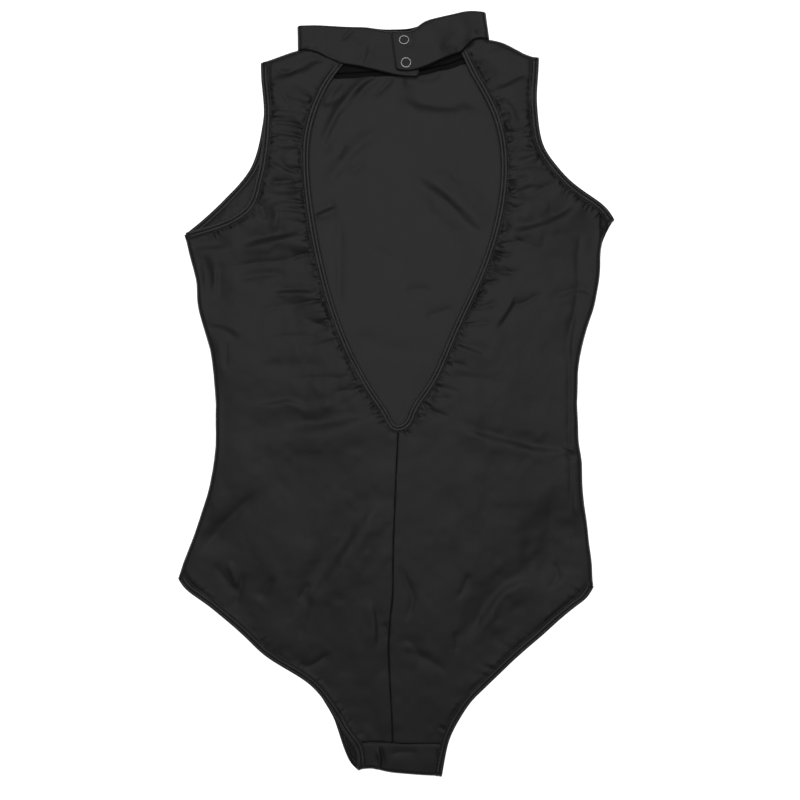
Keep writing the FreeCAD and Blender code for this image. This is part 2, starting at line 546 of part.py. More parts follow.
def collar_end(label, stiff_label, chain, slot, core, level):
    """A free end of the band: open at its hinge line, where the stiffening enters."""
    b = new_body(label)
    pad(b, "band", [loop(chain)], level, "dims.collar_thick")
    pocket(b, "stiffening_slot", [loop(slot)], "%s + dims.collar_skin" % level, "dims.stiff_thick + dims.fit_gap")
    pocket(b, "prong_holes", [], level, "dims.collar_thick", rings=[(PRONGS, "prong_hole")])
    c = new_body(stiff_label)
    pad(c, "stiffening", [loop(core)], "%s + dims.collar_skin" % level, "dims.stiff_thick")
    pocket(c, "prong_holes", [], "%s + dims.collar_skin" % level, "dims.stiff_thick",
           rings=[(PRONGS, "prong_hole")])


top, low = E["COLLAR_TOP_R"], E["COLLAR_LOW_R"]
collar_end("collar_overlap_end", "overlap_interfacing",
           [(top, 0.0, 1), (HINGE_R, 0.2, 1), (low, 0.0, -1), (END_R, 0.0, -1)],
           [(top, 2.4, 1), (HINGE_R, -0.6, 1), (low, -2.4, -1), (END_R, -2.4, -1)],
           [(top, 2.8, 1), (HINGE_R, 0.8, 1), (low, -2.8, -1), (END_R, -2.8, -1)], OVER)
top, low = E["COLLAR_TOP_L"], E["COLLAR_LOW_L"]
collar_end("collar_underlap_end", "underlap_interfacing",
           [(top, 0.0, 1), (END_L, 0.0, 1), (low, 0.0, -1), (HINGE_L, -0.2, -1)],
           [(top, 2.4, 1), (END_L, 2.4, 1), (low, -2.4, -1), (HINGE_L, 0.6, -1)],
           [(top, 2.8, 1), (END_L, 2.8, 1), (low, -2.8, -1), (HINGE_L, -0.8, -1)], UNDER)

# ---------------------------------------------------------------- snaps
caps = new_body("snap_ring_caps")
pad(caps, "rings", [], OVER_TOP, "dims.ring_thick", rings=[(SNAPS, "ring_outer"), (SNAPS, "ring_inner")])
pad(caps, "prongs", [], "%s - dims.cap_prong" % OVER_TOP, "dims.cap_prong", rings=[(PRONGS, "prong_dia")])

sockets = new_body("snap_sockets")
pad(sockets, "discs", [], "%s - dims.socket_thick" % OVER, "dims.socket_thick", rings=[(SNAPS, "socket_dia")])
pocket(sockets, "bores", [], "%s - dims.socket_thick" % OVER, "dims.socket_depth", rings=[(SNAPS, "socket_bore")])
pocket(sockets, "prong_pits", [], "%s - dims.cap_prong - 0.1" % OVER_TOP,
       "dims.cap_prong - dims.collar_thick + 0.1", rings=[(PRONGS, "prong_hole")])

studs = new_body("snap_studs")
pad(studs, "flanges", [], UNDER_TOP, "dims.flange_thick", rings=[(SNAPS, "flange_dia")])
pad(studs, "heads", [], "%s + dims.flange_thick" % UNDER_TOP, "dims.stud_high", rings=[(SNAPS, "stud_dia")])
pocket(studs, "prong_holes", [], UNDER_TOP, "dims.flange_thick", rings=[(PRONGS, "prong_hole")])

rings = new_body("snap_stud_rings")
pad(rings, "rings", [], "%s - dims.stud_ring_thick" % UNDER, "dims.stud_ring_thick",
    rings=[(SNAPS, "ring_outer"), (SNAPS, "ring_inner")])
pad(rings, "prongs", [], UNDER, "dims.stud_prong", rings=[(PRONGS, "prong_dia")])

# ---------------------------------------------------------------- check and write
doc.recompute()
bad = []
for obj in doc.Objects:
    if "Invalid" in obj.State or "Error" in obj.State:
        bad.append("%s %s" % (obj.Label, obj.State))
bodies = [o for o in doc.Objects if o.TypeId == "PartDesign::Body"]
for b in bodies:
    if b.Shape.isNull() or not b.Shape.isValid() or not b.Shape.Solids:
        bad.append("%s has no valid solid" % b.Label)
if bad:
    raise RuntimeError("; ".join(bad))
os.makedirs("parts", exist_ok=True)
for b in bodies:
    b.Shape.exportStep("parts/%s.step" % b.Label)
    box = b.Shape.BoundBox
    print("%-24s solids %d  volume %9.1f  x %.1f..%.1f  y %.1f..%.1f  z %.2f..%.2f" % (
        b.Label, len(b.Shape.Solids), b.Shape.Volume, box.XMin, box.XMax, box.YMin, box.YMax, box.ZMin, box.ZMax))
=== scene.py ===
import sys
import bpy
import json
import math
import numpy as np
from mathutils import Vector, geometry
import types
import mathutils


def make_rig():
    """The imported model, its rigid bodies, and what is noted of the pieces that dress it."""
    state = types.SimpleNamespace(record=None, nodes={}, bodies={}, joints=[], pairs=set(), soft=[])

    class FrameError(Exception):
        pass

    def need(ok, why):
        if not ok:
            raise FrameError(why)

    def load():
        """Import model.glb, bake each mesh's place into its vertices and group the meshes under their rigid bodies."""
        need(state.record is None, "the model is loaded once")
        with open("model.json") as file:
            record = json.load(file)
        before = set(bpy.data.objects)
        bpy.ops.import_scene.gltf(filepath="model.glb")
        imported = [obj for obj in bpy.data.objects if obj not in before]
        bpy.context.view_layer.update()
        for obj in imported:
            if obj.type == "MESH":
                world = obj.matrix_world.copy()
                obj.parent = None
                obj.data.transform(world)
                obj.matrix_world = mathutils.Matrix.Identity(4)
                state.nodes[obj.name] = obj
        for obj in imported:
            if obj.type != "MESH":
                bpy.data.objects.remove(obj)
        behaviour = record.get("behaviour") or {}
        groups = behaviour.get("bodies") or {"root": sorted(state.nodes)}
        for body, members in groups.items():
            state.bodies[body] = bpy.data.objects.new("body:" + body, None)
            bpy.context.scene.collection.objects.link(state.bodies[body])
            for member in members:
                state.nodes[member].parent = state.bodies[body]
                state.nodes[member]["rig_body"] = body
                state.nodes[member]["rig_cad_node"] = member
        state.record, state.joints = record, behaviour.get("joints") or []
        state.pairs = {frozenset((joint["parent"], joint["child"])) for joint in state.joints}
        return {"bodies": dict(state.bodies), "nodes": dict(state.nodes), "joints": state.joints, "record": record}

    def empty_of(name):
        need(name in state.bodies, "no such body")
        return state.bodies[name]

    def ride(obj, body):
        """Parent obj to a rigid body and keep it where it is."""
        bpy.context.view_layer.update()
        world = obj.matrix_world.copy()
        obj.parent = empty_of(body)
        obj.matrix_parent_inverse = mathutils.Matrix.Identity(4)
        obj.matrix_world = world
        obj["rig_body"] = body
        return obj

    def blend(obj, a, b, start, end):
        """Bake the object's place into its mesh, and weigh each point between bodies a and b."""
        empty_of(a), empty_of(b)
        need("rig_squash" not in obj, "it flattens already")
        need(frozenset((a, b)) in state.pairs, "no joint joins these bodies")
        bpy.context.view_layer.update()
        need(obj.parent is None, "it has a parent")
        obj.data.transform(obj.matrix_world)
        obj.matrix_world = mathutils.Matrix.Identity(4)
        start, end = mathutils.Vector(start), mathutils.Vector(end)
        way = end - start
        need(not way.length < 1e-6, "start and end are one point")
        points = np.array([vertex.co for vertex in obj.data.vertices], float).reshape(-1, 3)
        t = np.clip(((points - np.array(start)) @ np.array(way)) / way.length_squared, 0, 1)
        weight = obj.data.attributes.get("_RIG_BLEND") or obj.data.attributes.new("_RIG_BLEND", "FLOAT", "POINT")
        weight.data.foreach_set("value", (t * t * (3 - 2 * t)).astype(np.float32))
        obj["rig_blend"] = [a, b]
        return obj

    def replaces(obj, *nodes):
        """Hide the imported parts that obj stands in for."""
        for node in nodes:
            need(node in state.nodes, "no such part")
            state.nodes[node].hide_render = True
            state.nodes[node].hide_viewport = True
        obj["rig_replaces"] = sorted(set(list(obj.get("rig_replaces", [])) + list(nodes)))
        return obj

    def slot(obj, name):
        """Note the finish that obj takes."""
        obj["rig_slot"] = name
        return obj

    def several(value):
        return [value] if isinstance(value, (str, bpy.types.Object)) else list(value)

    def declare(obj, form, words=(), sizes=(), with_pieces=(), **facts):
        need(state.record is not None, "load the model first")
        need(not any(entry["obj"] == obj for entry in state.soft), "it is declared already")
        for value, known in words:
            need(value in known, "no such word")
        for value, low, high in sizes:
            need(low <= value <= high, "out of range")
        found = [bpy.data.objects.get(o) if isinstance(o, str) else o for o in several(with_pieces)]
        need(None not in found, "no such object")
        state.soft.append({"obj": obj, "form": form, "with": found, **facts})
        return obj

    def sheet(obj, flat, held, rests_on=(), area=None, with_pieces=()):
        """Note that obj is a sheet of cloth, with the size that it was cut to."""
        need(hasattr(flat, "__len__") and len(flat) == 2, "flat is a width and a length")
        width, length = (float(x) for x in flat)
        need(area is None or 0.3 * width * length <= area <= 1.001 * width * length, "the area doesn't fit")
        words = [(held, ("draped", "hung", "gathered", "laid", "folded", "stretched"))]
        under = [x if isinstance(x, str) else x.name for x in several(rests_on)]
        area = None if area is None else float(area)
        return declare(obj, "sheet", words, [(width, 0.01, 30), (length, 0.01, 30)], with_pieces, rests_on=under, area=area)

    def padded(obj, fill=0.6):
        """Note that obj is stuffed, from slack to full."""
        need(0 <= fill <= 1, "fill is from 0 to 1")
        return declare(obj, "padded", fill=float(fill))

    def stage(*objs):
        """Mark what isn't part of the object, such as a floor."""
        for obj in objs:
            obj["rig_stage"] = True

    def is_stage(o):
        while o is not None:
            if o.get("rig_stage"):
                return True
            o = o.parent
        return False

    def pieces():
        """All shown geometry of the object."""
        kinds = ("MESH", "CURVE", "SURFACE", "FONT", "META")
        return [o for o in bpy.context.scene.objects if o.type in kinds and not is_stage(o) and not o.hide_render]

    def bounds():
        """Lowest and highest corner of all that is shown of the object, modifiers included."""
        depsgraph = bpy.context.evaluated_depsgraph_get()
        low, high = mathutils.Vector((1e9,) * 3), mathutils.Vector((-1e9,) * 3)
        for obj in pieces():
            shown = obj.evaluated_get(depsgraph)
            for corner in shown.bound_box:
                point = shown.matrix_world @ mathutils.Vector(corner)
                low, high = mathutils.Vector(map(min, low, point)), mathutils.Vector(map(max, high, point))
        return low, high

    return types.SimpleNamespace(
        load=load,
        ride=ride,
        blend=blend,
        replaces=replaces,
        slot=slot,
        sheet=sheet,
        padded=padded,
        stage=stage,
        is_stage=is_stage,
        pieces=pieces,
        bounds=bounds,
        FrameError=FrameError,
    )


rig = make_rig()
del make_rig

# A black stretch-knit gymnastics leotard lying flat with its back side up.
# Lengths below are in millimetres; MM turns them into metres when a mesh is made.
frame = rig.load()
CAD_BOX = [list(v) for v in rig.bounds()]
MM = 0.001

# ------------------------------------------------------------------ outlines, as in the CAD source
OPENING = [(-47.7, 295.7), (-57.8, 282.5), (-66.4, 267.2), (-72.8, 251.0), (-76.9, 234.6), (-78.7, 216.8), (-78.2, 195.3), (-75.9, 172.5), (-72.5, 149.8), (-68.2, 127.4), (-63.0, 105.1), (-56.8, 83.0), (-49.4, 61.3), (-40.7, 40.2), (-30.4, 19.7), (-18.5, 0.2), (-6.6, -18.1), (-1.6, -26.7), (1.1, -27.9), (5.3, -26.6), (8.9, -23.0), (12.6, -14.1), (18.3, -4.3), (28.8, 11.0), (38.1, 29.3), (47.0, 50.4), (56.3, 71.4), (66.0, 92.1), (75.2, 113.1), (82.8, 134.7), (88.7, 156.8), (92.6, 179.3), (94.3, 201.0), (93.5, 220.2), (90.5, 237.4), (85.5, 252.8), (76.9, 270.3), (65.6, 290.2), (58.1, 306.4)]
ARM_BACK_L = [(-121.5, 297.0), (-120.0, 274.9), (-118.5, 252.4), (-118.8, 232.4), (-121.5, 213.0), (-126.5, 191.0), (-130.5, 176.6), (-134.6, 169.6), (-141.2, 163.4), (-151.6, 157.3), (-167.5, 151.2), (-188.6, 144.9)]
ARM_FRONT_L = [(-121.5, 297.0), (-121.0, 282.3), (-119.0, 261.7), (-119.4, 245.0), (-122.0, 228.4), (-126.5, 213.6), (-132.8, 200.7), (-141.8, 187.9), (-154.8, 173.9), (-171.6, 159.0), (-188.6, 144.9)]
ARM_BACK_R = [(127.8, 301.1), (126.5, 278.1), (126.3, 255.6), (128.1, 238.2), (131.9, 224.6), (137.4, 213.2), (145.9, 201.9), (158.7, 189.5), (176.8, 175.3), (188.9, 165.2), (195.3, 157.1)]
ARM_FRONT_R = [(127.8, 301.1), (124.3, 280.3), (123.0, 261.4), (123.9, 245.1), (126.7, 231.2), (131.2, 219.4), (137.8, 208.2), (147.4, 196.5), (161.2, 183.4), (178.3, 169.9), (195.3, 157.1)]
SIDE_L = [(-188.6, 138.2), (-183.2, 119.3), (-179.4, 97.8), (-176.2, 76.3), (-171.3, 54.6), (-166.5, 32.9), (-163.4, 10.8), (-161.8, -11.4), (-161.7, -33.7), (-163.3, -55.9), (-166.7, -77.9), (-172.1, -99.5), (-179.3, -120.6), (-187.1, -141.4), (-194.4, -162.5)]
SIDE_R = [(191.7, 150.8), (187.2, 141.6), (184.1, 129.5), (181.7, 109.1), (179.0, 88.3), (173.9, 68.8), (167.5, 47.4), (163.9, 29.7), (162.3, 8.8), (162.2, -13.6), (163.0, -36.0), (164.6, -58.4), (166.8, -80.7), (169.3, -103.0), (171.9, -125.3), (174.4, -147.6), (176.7, -169.7)]
LEG_BACK_L = [(-195.3, -166.5), (-189.2, -174.7), (-178.8, -183.9), (-161.3, -196.9), (-144.2, -211.1), (-128.2, -226.3), (-114.8, -237.5), (-98.2, -247.9), (-82.9, -257.9), (-72.4, -267.3), (-62.7, -279.2), (-51.7, -296.6), (-41.3, -314.6), (-36.3, -326.6), (-34.2, -336.6)]
LEG_FRONT_L = [(-195.3, -166.5), (-180.1, -173.6), (-164.1, -183.9), (-146.4, -198.4), (-129.1, -214.0), (-111.6, -229.3), (-94.0, -244.4), (-78.5, -259.8), (-67.7, -273.8), (-57.5, -291.3), (-47.8, -312.4), (-40.2, -328.6), (-34.2, -336.6)]
LEG_BACK_R = [(176.8, -173.7), (165.2, -186.8), (148.2, -202.4), (130.4, -217.4), (112.8, -232.7), (95.6, -248.4), (78.9, -264.7), (64.3, -281.1), (54.5, -295.4), (47.9, -309.4), (43.1, -325.3), (40.5, -342.9)]
LEG_FRONT_R = [(176.8, -173.7), (157.8, -186.1), (139.2, -200.1), (121.3, -215.0), (104.0, -230.4), (87.1, -246.5), (71.6, -263.5), (59.6, -280.1), (50.7, -296.2), (44.7, -312.0), (41.4, -327.6), (40.5, -342.9)]
SHOULDER_L = [(-117.0, 299.2), (-105.0, 303.6), (-87.3, 308.7)]
SHOULDER_R = [(123.3, 302.6), (114.4, 305.7), (99.6, 313.2), (90.1, 316.9), (82.4, 318.2)]
NECK_L = [(-87.3, 308.7), (-79.8, 308.8), (-71.2, 306.7), (-57.8, 300.2), (-47.7, 296.1)]
NECK_R = [(58.1, 306.9), (63.6, 313.0), (67.8, 317.0), (72.3, 318.9), (77.5, 319.4), (82.4, 318.2)]
NECK_F = [(-87.3, 308.7), (-76.5, 298.3), (-65.5, 290.8), (-54.8, 286.3), (-43.5, 284.2), (-25.4, 284.2), (-2.3, 285.0), (20.6, 286.0), (37.8, 288.3), (50.7, 292.3), (61.7, 298.2), (72.5, 307.0), (82.4, 318.2)]
CB_SEAM = [(1.8, -27.9), (0.7, -50.1), (-0.2, -72.5), (-1.2, -94.8), (-2.2, -117.1), (-2.9, -139.5), (-3.1, -161.8), (-3.5, -182.9), (-5.9, -204.2), (-7.0, -224.8), (-6.5, -247.1), (-5.2, -269.4), (-4.0, -291.8), (-3.6, -314.1)]
CROTCH_B = [(-41.4, -313.8), (-23.9, -313.1), (-0.5, -314.2), (22.8, -314.6), (46.2, -314.1)]
CROTCH_F = [(-52.2, -301.5), (-32.0, -302.3), (-11.9, -302.8), (8.3, -302.8), (28.5, -302.3), (48.6, -301.1)]
GUSSET_END = [(-34.2, -337.5), (-21.9, -337.4), (-2.7, -340.0), (19.0, -342.7), (40.5, -343.8)]
COLLAR_TOP_L = [(-88.2, 330.8), (-66.6, 330.5), (-44.9, 329.3), (-23.3, 327.8), (-1.7, 326.5), (19.8, 325.8)]
COLLAR_LOW_L = [(-47.7, 296.1), (-31.6, 293.5), (-10.9, 288.4), (6.8, 285.0), (19.8, 284.4)]
COLLAR_TOP_R = [(-5.4, 326.7), (8.6, 326.9), (15.7, 328.8), (25.3, 334.0), (36.0, 337.5), (56.5, 341.7), (70.3, 343.6), (79.7, 342.9)]
COLLAR_LOW_R = [(-0.5, 290.7), (7.7, 289.5), (16.6, 290.4), (27.7, 293.9), (45.3, 301.9), (58.1, 306.9)]
COLLAR_TOP_F = [(-88.2, 330.8), (-67.3, 329.7), (-46.1, 329.0), (-24.9, 328.9), (-3.7, 329.9), (17.4, 332.1), (38.4, 335.6), (59.2, 339.5), (79.7, 342.9)]

T = {k: v for k, v in list(globals().items()) if k.isupper() and isinstance(v, list) and k not in ("CAD_BOX",)}

ZB, ZM, ZF = 8.25, 4.6, 1.25        # back cloth, side fold and front cloth heights
rng = np.random.default_rng(11)


# ------------------------------------------------------------------ small maths
def spline(pts, step=0.6):
    P = np.array(pts, float)
    if len(P) == 2:
        n = max(2, int(np.hypot(*(P[1] - P[0])) / step) + 1)
        k = np.linspace(0, 1, n)[:, None]
        return P[0] * (1 - k) + P[1] * k
    t = np.r_[0, np.cumsum(np.hypot(*np.diff(P, axis=0).T) ** 0.75)]
    n = len(P)
    A = np.zeros((n, n)); B = np.zeros((n, P.shape[1]))
    h = np.diff(t)
    A[0, 0] = A[-1, -1] = 1
    for i in range(1, n - 1):
        A[i, i - 1], A[i, i], A[i, i + 1] = h[i - 1], 2 * (h[i - 1] + h[i]), h[i]
        B[i] = 6 * ((P[i + 1] - P[i]) / h[i] - (P[i] - P[i - 1]) / h[i - 1])
    M = np.linalg.solve(A, B)
    tt = np.linspace(0, t[-1], max(16, int(t[-1] * 12)))
    i = np.clip(np.searchsorted(t, tt, side="right") - 1, 0, n - 2)
    a = (tt - t[i])[:, None]; hi = h[i][:, None]; b = hi - a
    Q = (M[i] * b ** 3 + M[i + 1] * a ** 3) / (6 * hi) + (P[i] / hi - M[i] * hi / 6) * b + (P[i + 1] / hi - M[i + 1] * hi / 6) * a
    s = np.r_[0, np.cumsum(np.hypot(*np.diff(Q, axis=0).T))]
    m = max(3, int(s[-1] / step) + 1)
    u = np.linspace(0, s[-1], m)
    return np.c_[np.interp(u, s, Q[:, 0]), np.interp(u, s, Q[:, 1])]


class Line:
    """A smooth open line. Offsets are positive to the right of travel."""

    def __init__(self, pts, step=0.6):
        self.P = spline(pts, step)
        d = np.gradient(self.P, axis=0)
        self.T = d / np.hypot(*d.T)[:, None]
        self.N = np.c_[self.T[:, 1], -self.T[:, 0]]
        self.s = np.r_[0, np.cumsum(np.hypot(*np.diff(self.P, axis=0).T))]
        self.length = self.s[-1]

    def at(self, s):
        s = np.atleast_1d(np.asarray(s, float))
        c = np.clip(s, 0, self.length)
        f = lambda a: np.c_[np.interp(c, self.s, a[:, 0]), np.interp(c, self.s, a[:, 1])]
        P, Tn, N = f(self.P), f(self.T), f(self.N)
        Tn /= np.hypot(*Tn.T)[:, None]; N /= np.hypot(*N.T)[:, None]
        return P + Tn * (s - c)[:, None], Tn, N


def near(P, X):
    """Distance, signed distance (positive right of travel) and arc length of the nearest point of polyline P."""
    best = np.full(len(X), 1e18); side = np.zeros(len(X)); ss = np.zeros(len(X)); run = 0.0
    for a, b in zip(P[:-1], P[1:]):
        d = b - a; L2 = d @ d
        if L2 < 1e-12:
            continue
        v = X - a
        k = np.clip(v @ d / L2, 0, 1)
        e = v - k[:, None] * d
        q = e[:, 0] ** 2 + e[:, 1] ** 2
        m = q < best
        best[m] = q[m]
        L = math.sqrt(L2)
        ss[m] = run + k[m] * L
        side[m] = (v[m, 0] * d[1] - v[m, 1] * d[0])
        run += L
    r = np.sqrt(best)
    return r, np.where(side >= 0, r, -r), ss, run


def smooth(a, b, x):
    k = np.clip((np.asarray(x, float) - a) / (b - a), 0, 1)
    return k * k * (3 - 2 * k)


def rim(d, R):
    u = np.clip(d / R, 0, 1)
    return np.sqrt(np.clip(1 - (1 - u) ** 2, 0, 1))


_grid = np.random.default_rng(5).random((257, 257)) * 2 - 1


def noise2(x, y, seed=0):
    x = np.asarray(x, float) + seed * 17.31; y = np.asarray(y, float) + seed * 5.77
    i, j = np.floor(x).astype(int), np.floor(y).astype(int)
    fx, fy = x - i, y - j
    fx = fx ** 3 * (fx * (fx * 6 - 15) + 10); fy = fy ** 3 * (fy * (fy * 6 - 15) + 10)
    g = lambda a, b: _grid[np.mod(a, 256), np.mod(b, 256)]
    return (g(i, j) * (1 - fx) + g(i + 1, j) * fx) * (1 - fy) + (g(i, j + 1) * (1 - fx) + g(i + 1, j + 1) * fx) * fy


L = {k: Line(v) for k, v in T.items()}
COARSE = {k: Line(v, 2.0).P for k, v in T.items()}


